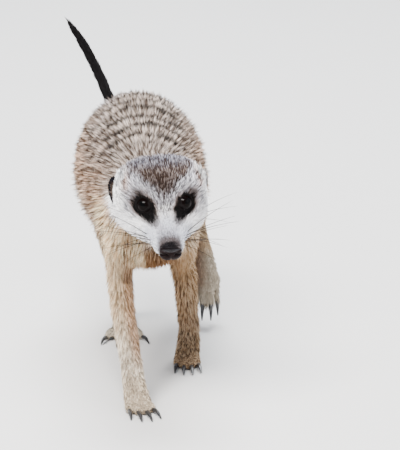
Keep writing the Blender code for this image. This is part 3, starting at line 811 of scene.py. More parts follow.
def ear_shell(side):
    """A small cupped ear with a rolled rim, a hollow with a fold, and a plain back.

    It gives the points, the triangles, and each point's reach and angle on the ear's disc, and its face.
    """
    rings, sides = 18, 64
    rows = []
    disc = []
    for face in (1, -1):
        for i in range(rings + (face > 0)):
            reach = i / rings
            for j in range(sides):
                angle = 2 * math.pi * j / sides
                thick = -EAR_BACK * math.sqrt(1 - reach ** 2)
                if face > 0:
                    roll = EAR_RIM * math.sin(math.pi * reach ** 3) * (0.75 + 0.25 * math.sin(angle))
                    fold = 0.7 * math.exp(-((reach * math.cos(angle) + 0.22) / 0.16) ** 2) * (1 - reach ** 2)
                    thick = roll + fold - EAR_HOLLOW * (1 - reach ** 2)
                forward = EAR_RADII[1] * EAR_SPREAD * reach * math.cos(angle)
                rows.append((thick * side, forward, EAR_RADII[2] * EAR_SPREAD * reach * math.sin(angle)))
                disc.append((reach, angle, face))
    turn = np.array(ear_turn(side))
    place = np.array((EAR_PLACE.x * side + side * 0.2, EAR_PLACE.y, EAR_PLACE.z))
    co = from_head(np.array([turn @ np.array(row) + place for row in rows]))
    tris = []
    for face in (1, -1):
        # both faces share the front's last ring, which the back's own rings follow
        first = 0 if face > 0 else (rings + 1) * sides
        starts = [first + i * sides for i in range(rings)] + [rings * sides]
        for here, beyond in zip(starts, starts[1:]):
            for j in range(sides):
                k = (j + 1) % sides
                quad = [(here + j, beyond + j, beyond + k), (here + j, beyond + k, here + k)]
                if (face > 0) == (side > 0):
                    quad = [tri[::-1] for tri in quad]
                tris += quad
    return co, np.array(tris), np.array(disc)


def skin_arrays():
    """The skin without the ears: the flesh less its coat, with lids and a mouth line."""
    co, tris = remeshed(*united_flesh(), SKIN_VOXEL)
    fields = coat_fields(co, point_normals(co, tris))
    muzzle = step(26, 36, fields["head"][:, 1])
    toes = (fields["owner"] > 0) * step(0.9, 0.5, fields["depth"])
    share = 0.5 * (1 - 0.55 * muzzle) * (1 - 0.7 * toes)
    co = smoothed(co, tris, SKIN_ROUNDS, share)
    normals = smoothed(point_normals(co, tris), tris, 4)
    depth = smoothed(fields["depth"], tris, 6)
    floor_gap = co[:, 2]
    co = co - unit(normals) * (depth + GROWTH * 0.8)[:, None]
    co = smoothed(co, tris, 3, share)
    co[:, 2] = np.maximum(co[:, 2], np.minimum(floor_gap, FLOOR_GAP))
    centres = eye_centres()

    def near_eyes(points):
        """Whether each point is near enough to an eye to need small faces."""
        return np.minimum(*[np.linalg.norm(points - centre, axis=1) for centre in centres]) < NEAR_EYE

    co, tris = refined(co, tris, near_eyes(co) | (head_measures(co)[:, 1] > NEAR_MUZZLE))
    co, tris = refined(co, tris, near_eyes(co))
    co = with_lids(co)
    groove = mouth_groove(head_measures(co), MOUTH_WIDTH)
    return co - point_normals(co, tris) * (MOUTH_DEPTH * groove)[:, None], tris


def skin_values(co, tris):
    """All the named values of the skin without the ears."""
    normals = point_normals(co, tris)
    parts = coat_fields(co, normals)
    head = parts["head"]
    colour, tick, band = markings(co, normals, head, parts["owner"])
    groove = mouth_groove(head, 0.5)
    colour = painted(colour, ("lip", groove))
    bald = np.ones(len(co))
    for side, centre in zip((-1, 1), eye_centres()):
        out = co - centre
        reach = np.linalg.norm(out, axis=1)
        _, outside = from_lids(out / np.maximum(reach, 1e-6)[:, None], side)
        near = step(8.5, 7.5, reach)
        bald = bald * (1 - near * step(0.12, 0.05, outside))
        colour = painted(colour, ("patch", near * step(0.16, 0.08, outside)))
    aside, forward, up = (head - np.array(NOSE_PLACE)).T
    tall = np.where(up > 0, 1.5, 1.0)
    bald = bald * step(5.8, 7.0, distance(aside * tall, forward * tall, up * tall)) * (1 - groove)
    bald = bald * step(0.45, 1.2, co[:, 2])
    parts.update({"hair": colour, "tick": tick, "band": band, "out": normals, "bald": bald})
    parts["lift"] = np.radians(parts["lift"])
    parts["owner"] = parts["owner"].astype(float)
    del parts["depth"]
    return parts


def ear_values(side, co, tris, disc):
    """The same for an ear: dark and bald but for the hollow's hair."""
    count = len(co)
    reach, angle, face = disc.T
    normals = point_normals(co, tris)
    inside = (face > 0) * step(0.78, 0.64, reach)
    middle = np.array(in_head((EAR_PLACE.x * side, EAR_PLACE.y, EAR_PLACE.z)))
    comb = co - middle + HEAD_TURN @ np.array((0, 4.0, 5.0))
    across = 0.5 + 0.24 * reach * np.cos(angle) * face + 0.25 * face
    return {
        "hair": painted(np.tile(linear(COLOURS["ear_rim"]), (count, 1)), ("ear_inner", inside)),
        "tick": 0.6 * inside, "band": np.zeros(count), "out": normals,
        "comb": unit(along_skin(comb, normals)), "length": 1.7 + 0.8 * inside,
        "width": np.full(count, 0.30), "lift": np.full(count, math.radians(14)),
        "bald": np.where(inside > 0.5, 0.45, 1.0), "owner": np.full(count, 5.0 + (side > 0)),
        "unwrap": np.column_stack((across, 0.5 + 0.48 * reach * np.sin(angle))), "head": head_measures(co),
    }


def skin_material():
    """Skin with dense underfur: dull and fine-grained, in the coat's colours, darkened by painted shade as
    under the coat's locks.
    """
    mat, tree, shader, place = new_material("skin_with_underfur", 0.85, 0.08)
    hair = add_node(tree, "ShaderNodeAttribute", take="Color", attribute_name="hair")
    tick = add_node(tree, "ShaderNodeAttribute", take="Fac", attribute_name="tick")
    # grain of about 0.7 mm
    fine = add_node(tree, "ShaderNodeTexNoise", {"Vector": place, "Scale": 1400.0, "Detail": 3.0})
    # painted shade under the coat, deeper where there is more ticking, with the fine grain
    shade = add_node(tree, "ShaderNodeMath MULTIPLY_ADD", tick, -0.48, 0.62)
    shade = add_node(tree, "ShaderNodeMath MULTIPLY_ADD", fine, 0.5, shade)
    shade = add_node(tree, "ShaderNodeMath MULTIPLY", shade, band_level(tree, place))
    colour = add_node(tree, "ShaderNodeMix", 1.0, hair, shade, data_type="RGBA", blend_type="MULTIPLY")
    finish_material(tree, shader, colour, fine, 0.6, 0.0004)
    return mat


def smooth_shaded(obj):
    """Shades all of a piece's faces smoothly."""
    obj.data.polygons.foreach_set("use_smooth", np.ones(len(obj.data.polygons), dtype=bool))
    obj.data.update()


def make_skin():
    """The one skin with its ears. Gives its points, triangles and named values for the coat."""
    co, tris = skin_arrays()
    pieces = [(co, tris)]
    parts = skin_values(co, tris)
    for side in (-1, 1):
        ear_co, ear_tris, disc = ear_shell(side)
        pieces.append((ear_co, ear_tris))
        for key, value in ear_values(side, ear_co, ear_tris, disc).items():
            parts[key] = np.concatenate((parts[key], value))
    co, tris = joined(pieces)
    parts["hair"] = np.column_stack((parts["hair"], np.ones(len(co))))
    skin = mesh_object("skin", co, tris, {key: parts[key] for key in ("hair", "tick", "band")})
    skin.data.materials.append(skin_material())
    smooth_shaded(skin)
    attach(skin, "root")
    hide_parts(*FLESH, *EARS)
    return co, tris, parts


# ---------------------------------------------------------------- coat

STRAND_FACES = ((0, 2, 1), (0, 1, 3), (1, 2, 3), (2, 0, 3))


def tuft_object(name, strands, seed, gather, spacing):
    """A tuft of thin closed strands, 1 long along Z. A strand is 1 wide, and they gather to the tip."""
    rng = np.random.default_rng(GRAIN + seed)
    points = []
    faces = []
    marks = []
    for s in range(strands):
        place = (s + 0.5) / strands - 0.5
        aside = place * strands * spacing + rng.uniform(-0.3, 0.3)
        lean = -aside * gather * rng.uniform(0.6, 1.2) + rng.uniform(-0.6, 0.6)
        root = rng.uniform(-0.22, 0.10)
        tall = root + rng.uniform(0.72, 1.0)
        rise = rng.uniform(-0.6, 0.8)
        value = rng.uniform()
        start = len(points)
        points += [(aside - 0.5, -0.2, root), (aside + 0.5, -0.2, root), (aside, 0.45, root)]
        points.append((aside + lean, rise, tall))
        marks += [(along, value, 0.5 + place) for along in (0.0, 0.0, 0.0, 1.0)]
        faces += [tuple(start + corner for corner in face) for face in STRAND_FACES]
    return plain_object(name, points, faces, dict(zip(("along", "strand", "across"), zip(*marks))))


def new_tree(name, *inputs):
    """A Geometry Nodes tree with a piece going in and out, and inputs given by their kinds and names."""
    tree = bpy.data.node_groups.new(name, "GeometryNodeTree")
    tree.interface.new_socket("Geometry", in_out="OUTPUT", socket_type="NodeSocketGeometry")
    for kind, label in (("Geometry", "Geometry"), *inputs):
        tree.interface.new_socket(label, in_out="INPUT", socket_type="NodeSocket" + kind)
    return tree, tree.nodes.new("NodeGroupInput").outputs


def along_ways(tree, ways, out, points, piece, size):
    """Sets the object piece on points, its Z along their ways and its Y outward."""
    turn = add_node(tree, "FunctionNodeAxesToRotation", ways, out, primary_axis="Z", secondary_axis="Y")
    shape = add_node(tree, "GeometryNodeObjectInfo", piece, take="Geometry", transform_space="ORIGINAL")
    inputs = {"Points": points, "Instance": shape, "Rotation": turn, "Scale": size}
    return add_node(tree, "GeometryNodeInstanceOnPoints", inputs)


def without(tree, geometry, *names):
    """Drops the values that the finished piece doesn't need."""
    for name in names:
        geometry = add_node(tree, "GeometryNodeRemoveAttribute", {"Geometry": geometry, "Name": name})
    return geometry


def coat_nodes():
    """Geometry Nodes that set tufts over a patch of skin, laid along the comb, in their roots' colours."""
    tree, given = new_tree(
        "FurTufts", ("Object", "Tuft"), ("Material", "Fur"), ("Float", "Tufts per square metre"),
        ("Int", "Seed"), ("Float", "Disorder"),
    )
    own = {}
    for name in ("comb", "out", "lift", "length", "width", "bald"):
        kind = "FLOAT_VECTOR" if name in ("comb", "out") else "FLOAT"
        own[name] = add_node(tree, "GeometryNodeInputNamedAttribute", "c_" + name, data_type=kind)
    density = add_node(tree, "ShaderNodeMath MULTIPLY", own["bald"], given["Tufts per square metre"])
    inputs = {"Mesh": given["Geometry"], "Density": density, "Seed": given["Seed"]}
    roots = add_node(tree, "GeometryNodeDistributePointsOnFaces", inputs, distribute_method="RANDOM")
    chance = add_node(tree, "FunctionNodeRandomValue", {"Seed": 3}, data_type="FLOAT")
    inputs = {"Geometry": roots, "Name": "chance", "Value": chance}
    roots = add_node(tree, "GeometryNodeStoreNamedAttribute", inputs, data_type="FLOAT", domain="POINT")
    varied = {}
    for name, low, high, seed in TUFT_RANGES:
        share = add_node(tree, "FunctionNodeRandomValue", low, high, {"Seed": seed}, data_type="FLOAT")
        varied[name] = add_node(tree, "ShaderNodeMath MULTIPLY", own[name], share)
    along = add_node(tree, "ShaderNodeMath COSINE", varied["lift"])
    along = add_node(tree, "ShaderNodeVectorMath SCALE", own["comb"], along)
    rising = add_node(tree, "ShaderNodeMath SINE", varied["lift"])
    rising = add_node(tree, "ShaderNodeVectorMath SCALE", own["out"], rising)
    bounds = ((-1, -1, -1), (1, 1, 1))
    stray = add_node(tree, "FunctionNodeRandomValue", *bounds, {"Seed": 8}, data_type="FLOAT_VECTOR")
    stray = add_node(tree, "ShaderNodeVectorMath SCALE", stray, given["Disorder"])
    way = add_node(tree, "ShaderNodeVectorMath ADD", along, rising)
    way = add_node(tree, "ShaderNodeVectorMath ADD", way, stray)
    size = add_node(tree, "ShaderNodeCombineXYZ", varied["width"], varied["width"], varied["length"])
    hair = along_ways(tree, way, own["out"], roots, given["Tuft"], size)
    hair = without(tree, hair, "c_bald", "c_out", "c_comb", "c_lift", "c_length", "c_width")
    hair = add_node(tree, "GeometryNodeRealizeInstances", {"Geometry": hair})
    here = add_node(tree, "ShaderNodeSeparateXYZ", add_node(tree, "GeometryNodeInputPosition")).node.outputs
    above = add_node(tree, "ShaderNodeMath MAXIMUM", here["Z"], HAIR_GAP)
    above = add_node(tree, "ShaderNodeCombineXYZ", here["X"], here["Y"], above)
    hair = add_node(tree, "GeometryNodeSetPosition", {"Geometry": hair, "Position": above})
    patch = []
    for name in ("across", "along"):
        mark = add_node(tree, "GeometryNodeInputNamedAttribute", name, data_type="FLOAT")
        patch.append(add_node(tree, "ShaderNodeMath SUBTRACT", mark, 0.5))
    patch = add_node(tree, "ShaderNodeCombineXYZ", *patch)
    patch = add_node(tree, "ShaderNodeVectorMath SCALE", patch, BAKE_PATCH)
    place = add_node(tree, "GeometryNodeInputNamedAttribute", "root_place", data_type="FLOAT_VECTOR")
    place = add_node(tree, "ShaderNodeVectorMath ADD", place, patch)
    inputs = {"Geometry": hair, "Name": "OFBake", "Value": place}
    hair = add_node(tree, "GeometryNodeStoreNamedAttribute", inputs, data_type="FLOAT2", domain="CORNER")
    hair = without(tree, hair, "root_place", "across")
    hair = add_node(tree, "GeometryNodeSetMaterial", {"Geometry": hair, "Material": given["Fur"]})
    add_node(tree, "NodeGroupOutput", hair)
    return tree


def band_level(tree, place):
    """How light the coat is by the wavy dark and pale rows across the back, where the value "band" says."""
    along = add_node(tree, "ShaderNodeSeparateXYZ", place, take="Y")
    # waves of about 13 mm, like the rows
    wavy = add_node(tree, "ShaderNodeTexNoise", {"Vector": place, "Scale": 75.0, "Detail": 1.0})
    phase = add_node(tree, "ShaderNodeMath MULTIPLY_ADD", wavy, 0.012, along)
    phase = add_node(tree, "ShaderNodeMath MULTIPLY", phase, 2 * math.pi / BAND_PITCH)
    wave = add_node(tree, "ShaderNodeMath SINE", phase)
    wave = add_node(tree, "ShaderNodeMath MULTIPLY_ADD", wave, 0.62, -0.24)
    band = add_node(tree, "ShaderNodeAttribute", take="Fac", attribute_name="band")
    return add_node(tree, "ShaderNodeMath MULTIPLY_ADD", wave, band, 1.0)


def fur_material():
    """Dry dull hair in its root's colour, with painted shade at the root and a light tip, and with dark and
    pale locks.
    """
    mat, tree, shader, place = new_material("meerkat_hair", 0.85, 0.06)
    hair = add_node(tree, "ShaderNodeAttribute", take="Color", attribute_name="hair")
    tick, along, strand, chance = [
        add_node(tree, "ShaderNodeAttribute", take="Fac", attribute_name=name)
        for name in ("tick", "along", "strand", "chance")
    ]
    # two numbers between 0 and 1 by which a strand's looks are drawn
    lock = add_node(tree, "ShaderNodeMath MULTIPLY", chance, 17.3)
    lock = add_node(tree, "ShaderNodeMath MULTIPLY_ADD", strand, 0.25, lock)
    lock = add_node(tree, "ShaderNodeMath FRACT", lock)
    other = add_node(tree, "ShaderNodeMath MULTIPLY", strand, 3.1)
    other = add_node(tree, "ShaderNodeMath MULTIPLY_ADD", chance, 9.7, other)
    other = add_node(tree, "ShaderNodeMath FRACT", other)
    # its lightness, from a root in painted shade, darker where there is more ticking, to a light tip
    shade = add_node(tree, "ShaderNodeMath MULTIPLY_ADD", other, 0.5, 0.75)
    root_shade = add_node(tree, "ShaderNodeMath MULTIPLY_ADD", tick, -0.40, 0.78)
    tip = add_node(tree, "ShaderNodeMath SUBTRACT", 1.22, root_shade)
    level = add_node(tree, "ShaderNodeMath ADD", root_shade, add_node(tree, "ShaderNodeMath MULTIPLY", along, tip))
    level = add_node(tree, "ShaderNodeMath MULTIPLY", shade, level)
    colour = add_node(tree, "ShaderNodeMix", 1.0, hair, level, data_type="RGBA", blend_type="MULTIPLY")
    # dark locks, and locks with a pale tip in a lighter tone of their own colour
    dark = add_node(tree, "ShaderNodeMath LESS_THAN", lock, DARK_BELOW)
    dark = add_node(tree, "ShaderNodeMath MULTIPLY", dark, tick)
    dark = add_node(tree, "ShaderNodeMath MULTIPLY", dark, 0.92)
    colour = add_node(tree, "ShaderNodeMix", dark, colour, rgba("#291F1B"), data_type="RGBA")
    pale = add_node(tree, "ShaderNodeMath GREATER_THAN", lock, PALE_ABOVE)
    pale = add_node(tree, "ShaderNodeMath MULTIPLY", pale, tick)
    ending = add_node(tree, "ShaderNodeMath MULTIPLY_ADD", along, 0.9, 0.05)
    pale = add_node(tree, "ShaderNodeMath MULTIPLY", pale, ending)
    left = add_node(tree, "ShaderNodeVectorMath SUBTRACT", (1.0, 1.0, 1.0), hair)
    cubed = add_node(tree, "ShaderNodeVectorMath MULTIPLY", left, left)
    cubed = add_node(tree, "ShaderNodeVectorMath MULTIPLY", cubed, left)
    bright = add_node(tree, "ShaderNodeVectorMath SUBTRACT", (1.13, 1.13, 1.135), cubed)
    bright = add_node(tree, "ShaderNodeVectorMath MINIMUM", bright, (0.95, 0.94, 0.93))
    colour = add_node(tree, "ShaderNodeMix", pale, colour, bright, data_type="RGBA")
    rows = band_level(tree, place)
    colour = add_node(tree, "ShaderNodeMix", 1.0, colour, rows, data_type="RGBA", blend_type="MULTIPLY")
    finish_material(tree, shader, colour)
    return mat


def coat_regions(co, parts):
    """The coat's pieces: name, the points it holds, tuft, strands to a square mm, disorder, and slot."""
    owner = parts["owner"]
    forward = parts["head"][:, 1]
    y = co[:, 1]
    side = parts["unwrap"][:, 0] - 0.5
    spine = owner == 0
    on_head = spine & (forward > -12)
    face = on_head & (forward > 14)
    rest = spine & ~on_head
    neck = rest & (y < 98)
    tail = rest & (y > 250)
    trunk = rest & ~neck & ~tail
    front = trunk & (y < 172)
    high = np.abs(side) < 0.14
    low = np.abs(side) > 0.36
    flank = front & ~high & ~low
    rows = [
        ("coat_face", face, "fine", 5.0, 0.10, "fur_grizzled"),
        ("coat_crown", on_head & ~face, "fine", 4.4, 0.11, "fur_grizzled"),
        ("coat_neck", neck, "long", 3.6, 0.13, "fur_grizzled"),
        ("coat_back", front & high, "long", 3.6, 0.13, "fur_grizzled"),
        ("coat_flank_left", flank & (side > 0), "long", 3.4, 0.15, "fur_grizzled"),
        ("coat_flank_right", flank & (side <= 0), "long", 3.4, 0.15, "fur_grizzled"),
        ("coat_belly", trunk & low, "long", 2.2, 0.14, "fur_grizzled"),
        ("coat_rump", trunk & ~front & ~low, "long", 3.4, 0.13, "fur_grizzled"),
        ("coat_tail", tail, "short", 4.0, 0.08, "fur_black"),
        ("coat_ears", owner >= 5, "fine", 6.0, 0.10, "fur_black"),
    ]
    for k, leg in enumerate(LEGS, 1):
        rows.append(("coat_" + leg, owner == k, "short", 4.4, 0.08, "fur_pale"))
    return rows


def patch_object(name, co, tris, parts, chosen):
    """The chosen part of the skin with the values that the tufts follow."""
    kept = tris[chosen[tris[:, 0]]]
    used, faces = np.unique(kept, return_inverse=True)
    unwrap = np.clip(parts["unwrap"][used], 0.004, 0.996)
    values = {key: parts[key][used] for key in ("hair", "tick", "band")}
    values["root_place"] = np.column_stack((unwrap, np.zeros(len(used))))
    for key in ("comb", "out", "lift", "length", "width", "bald"):
        values["c_" + key] = parts[key][used] * (MM if key in ("length", "width") else 1.0)
    return mesh_object(name + "_patch", co[used], faces.reshape(-1, 3), values)


def grown(obj, name, tree, inputs):
    """What a Geometry Nodes tree makes of an object, as a new plain object. The old one is removed."""
    nodes = obj.modifiers.new("nodes", "NODES")
    nodes.node_group = tree
    for item in tree.interface.items_tree:
        if item.in_out == "INPUT" and item.name in inputs:
            nodes[item.identifier] = inputs[item.name]
    graph = bpy.context.evaluated_depsgraph_get()
    made = obj.evaluated_get(graph)
    mesh = bpy.data.meshes.new_from_object(made, preserve_all_data_layers=True, depsgraph=graph)
    mesh.name = name
    bpy.data.objects.remove(obj, do_unlink=True)
    return placed(name, mesh)


def make_coat(co, tris, parts, thickness):
    """The coat's pieces. thickness is the share of the tufts that grow."""
    tree = coat_nodes()
    fur = fur_material()
    tufts = {name: tuft_object("tuft_" + name, *tuft) for name, tuft in TUFTS.items()}
    for k, (name, chosen, tuft, density, disorder, slot) in enumerate(coat_regions(co, parts)):
        coat = grown(patch_object(name, co, tris, parts, chosen), name, tree, {
            "Tuft": tufts[tuft], "Fur": fur, "Seed": GRAIN + k, "Disorder": disorder,
            "Tufts per square metre": float(density / TUFTS[tuft][0] * 1e6 * thickness),
        })
        count = len(coat.data.polygons)
        print("coat", name, count)
        if not 0 < count < MOST_TRIANGLES:
            raise RuntimeError(f"{name} has {count} triangles")
        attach(coat, "root")
    for obj in tufts.values():
        bpy.data.objects.remove(obj, do_unlink=True)


# ---------------------------------------------------------------- eyes, nose, claws, whiskers

def make_eye(side, word, centre, radius_mm, mat):
    """A glossy ball with a bulging front, its pole turned the way the eye looks."""
    rings, sides = 40, 56
    look, inner, over = eye_frame(side)
    points = []
    iris = []
    pupil = []
    for i in range(rings + 1):
        polar = math.pi * i / rings
        reach = radius_mm + EYE_BULGE * math.exp(-(polar / 0.55) ** 2)
        for j in range(1 if i in (0, rings) else sides):
            around = 2 * math.pi * j / sides
            flat = inner * math.cos(around) + over * math.sin(around)
            points.append(centre + (look * math.cos(polar) + flat * math.sin(polar)) * reach)
            iris.append(polar)
            pupil.append(math.hypot(math.cos(around) * 0.75, math.sin(around) * 1.35) * polar)
    co = np.array(points)
    faces = ball_tris(rings, sides)
    a, b, c = co[faces[0]]
    if np.dot(np.cross(b - a, c - a), a - centre) < 0:
        faces = faces[:, ::-1]
    eye = mesh_object("eyeball_" + word, co, faces, {"iris": iris, "pupil": pupil})
    eye.data.materials.append(mat)
    smooth_shaded(eye)
    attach(eye, "root")
    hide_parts("eye_" + word)


def eye_material():
    """Wet cornea, which is glossy, over a very dark brown iris with a dark edge and a wide pupil."""
    mat, tree, shader, place = new_material("eye_cornea_and_iris", 0.05, 0.05)
    iris = add_node(tree, "ShaderNodeAttribute", take="Fac", attribute_name="iris")
    pupil = add_node(tree, "ShaderNodeAttribute", take="Fac", attribute_name="pupil")
    # threads of about 0.4 mm
    threads = add_node(tree, "ShaderNodeTexNoise", {"Vector": place, "Scale": 2600.0, "Detail": 2.0})
    colour = add_node(tree, "ShaderNodeMix", threads, rgba("#030101"), rgba("#080403"), data_type="RGBA")
    ring = add_node(tree, "ShaderNodeMath GREATER_THAN", iris, 0.72)
    colour = add_node(tree, "ShaderNodeMix", ring, colour, rgba("#0D0A0A"), data_type="RGBA")
    hole = add_node(tree, "ShaderNodeMath LESS_THAN", pupil, 0.34)
    colour = add_node(tree, "ShaderNodeMix", hole, colour, rgba("#030303"), data_type="RGBA")
    finish_material(tree, shader, colour)
    return mat


def nose_material():
    """Bare moist skin in small cells: nearly black, with a painted reddish-brown reflection below and painted
    shade in the nostrils, with a soft gloss.
    """
    mat, tree, shader, place = new_material("nose_skin_moist", 0.36, 0.05)
    hole = add_node(tree, "ShaderNodeAttribute", take="Fac", attribute_name="hole")
    height = add_node(tree, "ShaderNodeAttribute", take="Fac", attribute_name="height")
    # cells of about 0.45 mm and spots of about 2.4 mm
    cells = add_node(tree, "ShaderNodeTexVoronoi", {"Vector": place, "Scale": 2200.0})
    spots = add_node(tree, "ShaderNodeTexNoise", {"Vector": place, "Scale": 420.0, "Detail": 3.0})
    # the nose's own near black on top, and a painted reddish-brown reflection of the ground on its lower side
    top = add_node(tree, "ShaderNodeMath MULTIPLY_ADD", height, 2.6, -0.9, use_clamp=True)
    colour = add_node(tree, "ShaderNodeMix", top, rgba("#140807"), rgba("#121012"), data_type="RGBA")
    spots = add_node(tree, "ShaderNodeMath MULTIPLY", spots, 0.6)
    colour = add_node(tree, "ShaderNodeMix", spots, colour, rgba("#0A0707"), data_type="RGBA")
    # painted shade in the nostrils, the side slits and the groove under them
    colour = add_node(tree, "ShaderNodeMix", hole, colour, rgba("#0D0707"), data_type="RGBA")
    finish_material(tree, shader, colour, cells, 0.5, 0.0003)
    return mat


def make_nose():
    """The nose pad with nostrils, side slits and the groove under them, placed on a ball of radius 1."""
    radii = tuple(radius + NOSE_GROWTH for radius in NOSE_RADII)
    co, tris, ball = ellipsoid_arrays(NOSE_PLACE, radii, Matrix.Identity(3), 72, 96)
    aside, forward, up = ball.T
    wide = np.abs(aside)
    lowered = 0.78 * np.maximum(0.93 * up - 0.37 * forward - 0.02, 0)
    co = co - np.outer(lowered * NOSE_RADII[2], HEAD_TURN @ np.array((0, 0.37, 0.93)))
    nostril = bump(np.hypot((wide - 0.45) / 0.20, (up - 0.10) / 0.22), 1.0) * (forward > 0)
    slit = bump((up - 0.04 + 0.35 * (wide - 0.45)) / 0.085, 1.0) * step(0.38, 0.54, wide)
    slit = slit * step(1.0, 0.85, wide) * (forward > -0.1)
    hole = np.maximum(nostril, 0.75 * slit)
    groove = bump(aside / 0.055, 1.0) * step(0.16, -0.12, up) * (forward > 0)
    wing = bump(np.hypot((wide - 0.62) / 0.3, (up - 0.28) / 0.3), 1.0)
    corner = np.abs(aside * up) * step(-0.5, 0.3, forward)
    move = -1.5 * hole - 0.5 * groove + 0.25 * wing + 1.7 * corner
    co = co + point_normals(co, tris) * move[:, None]
    # hole: where painted shade darkens the nostrils, slits and groove
    nose = mesh_object("nose_pad", co, tris, {"hole": np.clip(hole + 0.6 * groove, 0, 1), "height": up})
    nose.data.materials.append(nose_material())
    smooth_shaded(nose)
    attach(nose, "root")
    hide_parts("nose")


def dress_claws():
    """Grown horn for the claws, which stay as they are: dark and half glossy, paler where it is worn."""
    mat, tree, shader, place = new_material("claw_horn_grown", 0.38)
    # grain of about 1.1 mm
    grain = add_node(tree, "ShaderNodeTexNoise", {"Vector": place, "Scale": 900.0, "Detail": 3.0})
    wear = add_node(tree, "ShaderNodeMath MULTIPLY_ADD", grain, 1.6, -0.5, use_clamp=True)
    colour = add_node(tree, "ShaderNodeMix", wear, rgba("#141416"), rgba("#353230"), data_type="RGBA")
    finish_material(tree, shader, colour, grain, 0.25, 0.0002)
    claws = [node for name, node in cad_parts.items() if name.startswith("claw")]
    for claw in claws:
        claw.data.materials.clear()
        claw.data.materials.append(mat)
    return len(claws)


# Where whiskers grow: aside, forward and up in the head's frame, the way they point there, and their length
WHISKERS = (
    (11.4, 38.5, -1.6, (0.80, -0.40, 0.46), 34), (11.0, 40.0, -2.8, (0.90, -0.30, 0.28), 33),
    (11.6, 38.0, -3.8, (0.94, -0.30, 0.12), 34), (9.6, 43.0, -2.2, (0.92, -0.30, 0.16), 29),
    (9.4, 43.0, -4.2, (0.95, -0.20, -0.08), 30), (10.6, 40.0, -5.0, (0.92, -0.10, -0.26), 28),
    (8.4, 46.0, -3.0, (0.95, -0.20, 0.02), 24), (8.6, 45.0, -5.2, (0.86, -0.06, -0.46), 24),
    (12.2, 36.0, -5.2, (0.88, -0.16, -0.40), 26), (22.5, 21.0, 0.5, (0.84, -0.24, 0.40), 24),
    (23.2, 19.0, -4.5, (0.92, -0.30, 0.06), 24), (23.0, 19.0, -8.5, (0.92, -0.20, -0.24), 20),
)
WHISKER_SAG = 0.13      # how far a whisker sags for its length
WHISKER_HALF = 0.20     # half its width at the root, mm
WHISKER_UNIT = 28       # the length in the table that the add-on's whisker length stands for


def whisker_nodes():
    """Geometry Nodes that set one hair on each point, along the point's own way."""
    tree, given = new_tree("Whiskers", ("Object", "Hair"), ("Material", "Horn"), ("Float", "Length"))
    points = add_node(tree, "GeometryNodeMeshToPoints", {"Mesh": given["Geometry"]})
    way = add_node(tree, "GeometryNodeInputNamedAttribute", "c_way", data_type="FLOAT_VECTOR")
    long = add_node(tree, "GeometryNodeInputNamedAttribute", "c_long", data_type="FLOAT")
    long = add_node(tree, "ShaderNodeMath MULTIPLY", long, given["Length"])
    size = add_node(tree, "ShaderNodeCombineXYZ", MM, long, long)
    hairs = along_ways(tree, way, (0.0, 0.0, 1.0), points, given["Hair"], size)
    hairs = add_node(tree, "GeometryNodeRealizeInstances", {"Geometry": hairs})
    hairs = add_node(tree, "GeometryNodeSetMaterial", {"Geometry": hairs, "Material": given["Horn"]})
    add_node(tree, "NodeGroupOutput", hairs)
    return tree


def hair_object(name, sag, half_width):
    """A tapered closed hair, 1 long along Z, that sags towards -Y."""
    points = []
    faces = []
    rings, sides = 10, 4
    for i in range(rings):
        t = i / rings
        wide = half_width * (1 - 0.8 * t)
        for j in range(sides):
            angle = 2 * math.pi * j / sides
            points.append((wide * math.cos(angle), wide / 25 * math.sin(angle) - sag * t * t, t))
    points.append((0, -sag, 1))
    for i in range(rings - 1):
        for j in range(sides):
            a, b = i * sides + j, i * sides + (j + 1) % sides
            faces += [(a, b, b + sides), (a, b + sides, a + sides)]
    last = (rings - 1) * sides
    faces += [(last + j, last + (j + 1) % sides, len(points) - 1) for j in range(sides)]
    faces += [(0, 2, 1), (0, 3, 2)]
    return plain_object(name, points, faces)


def whisker_material():
    """Stiff dark horn hair with a dull gloss, unevenly brown along its length."""
    mat, tree, shader, place = new_material("whisker_horn", 0.4, 0.12)
    # patches of about 8 mm
    worn = add_node(tree, "ShaderNodeTexNoise", {"Vector": place, "Scale": 120.0})
    colour = add_node(tree, "ShaderNodeMix", worn, rgba("#191614"), rgba("#352D27"), data_type="RGBA")
    finish_material(tree, shader, colour)
    return mat


def make_whiskers(length):
    """The whiskers of both sides as one piece. length is that of a middling one, in metres."""
    points = []
    ways = []
    longs = []
    for side in (-1, 1):
        for aside, forward, up, way, long in WHISKERS:
            points.append(tuple((np.array(in_head((aside * side, forward, up))) + SHIFT) * MM))
            ways.append(unit(HEAD_TURN @ np.array((way[0] * side, -way[1], way[2]))))
            longs.append(long / WHISKER_UNIT)
    hair = hair_object("one_whisker", WHISKER_SAG, WHISKER_HALF)
    roots = plain_object("whisker_roots", points, [], {"c_way": np.array(ways), "c_long": longs})
    inputs = {"Hair": hair, "Horn": whisker_material(), "Length": float(length)}
    whiskers = grown(roots, "whiskers", whisker_nodes(), inputs)
    bpy.data.objects.remove(hair, do_unlink=True)
    smooth_shaded(whiskers)
    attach(whiskers, "root")


# ---------------------------------------------------------------- stage

def make_floor(colour):
    """A plain matt floor, faintly clouded, 12 m square."""
    size = 6.0
    corners = [(-size, -size, 0), (size, -size, 0), (size, size, 0), (-size, size, 0)]
    floor = plain_object("studio_floor", corners, [(0, 1, 2, 3)])
    mat, tree, shader, place = new_material("studio_floor_matt", 0.85)
    # clouds of about 330 mm
    cloud = add_node(tree, "ShaderNodeTexNoise", {"Vector": place, "Scale": 3.0})
    darker = (*(value * 0.96 for value in colour), 1.0)
    colour = add_node(tree, "ShaderNodeMix", cloud, darker, (*colour, 1.0), data_type="RGBA")
    finish_material(tree, shader, colour)
    floor.data.materials.append(mat)


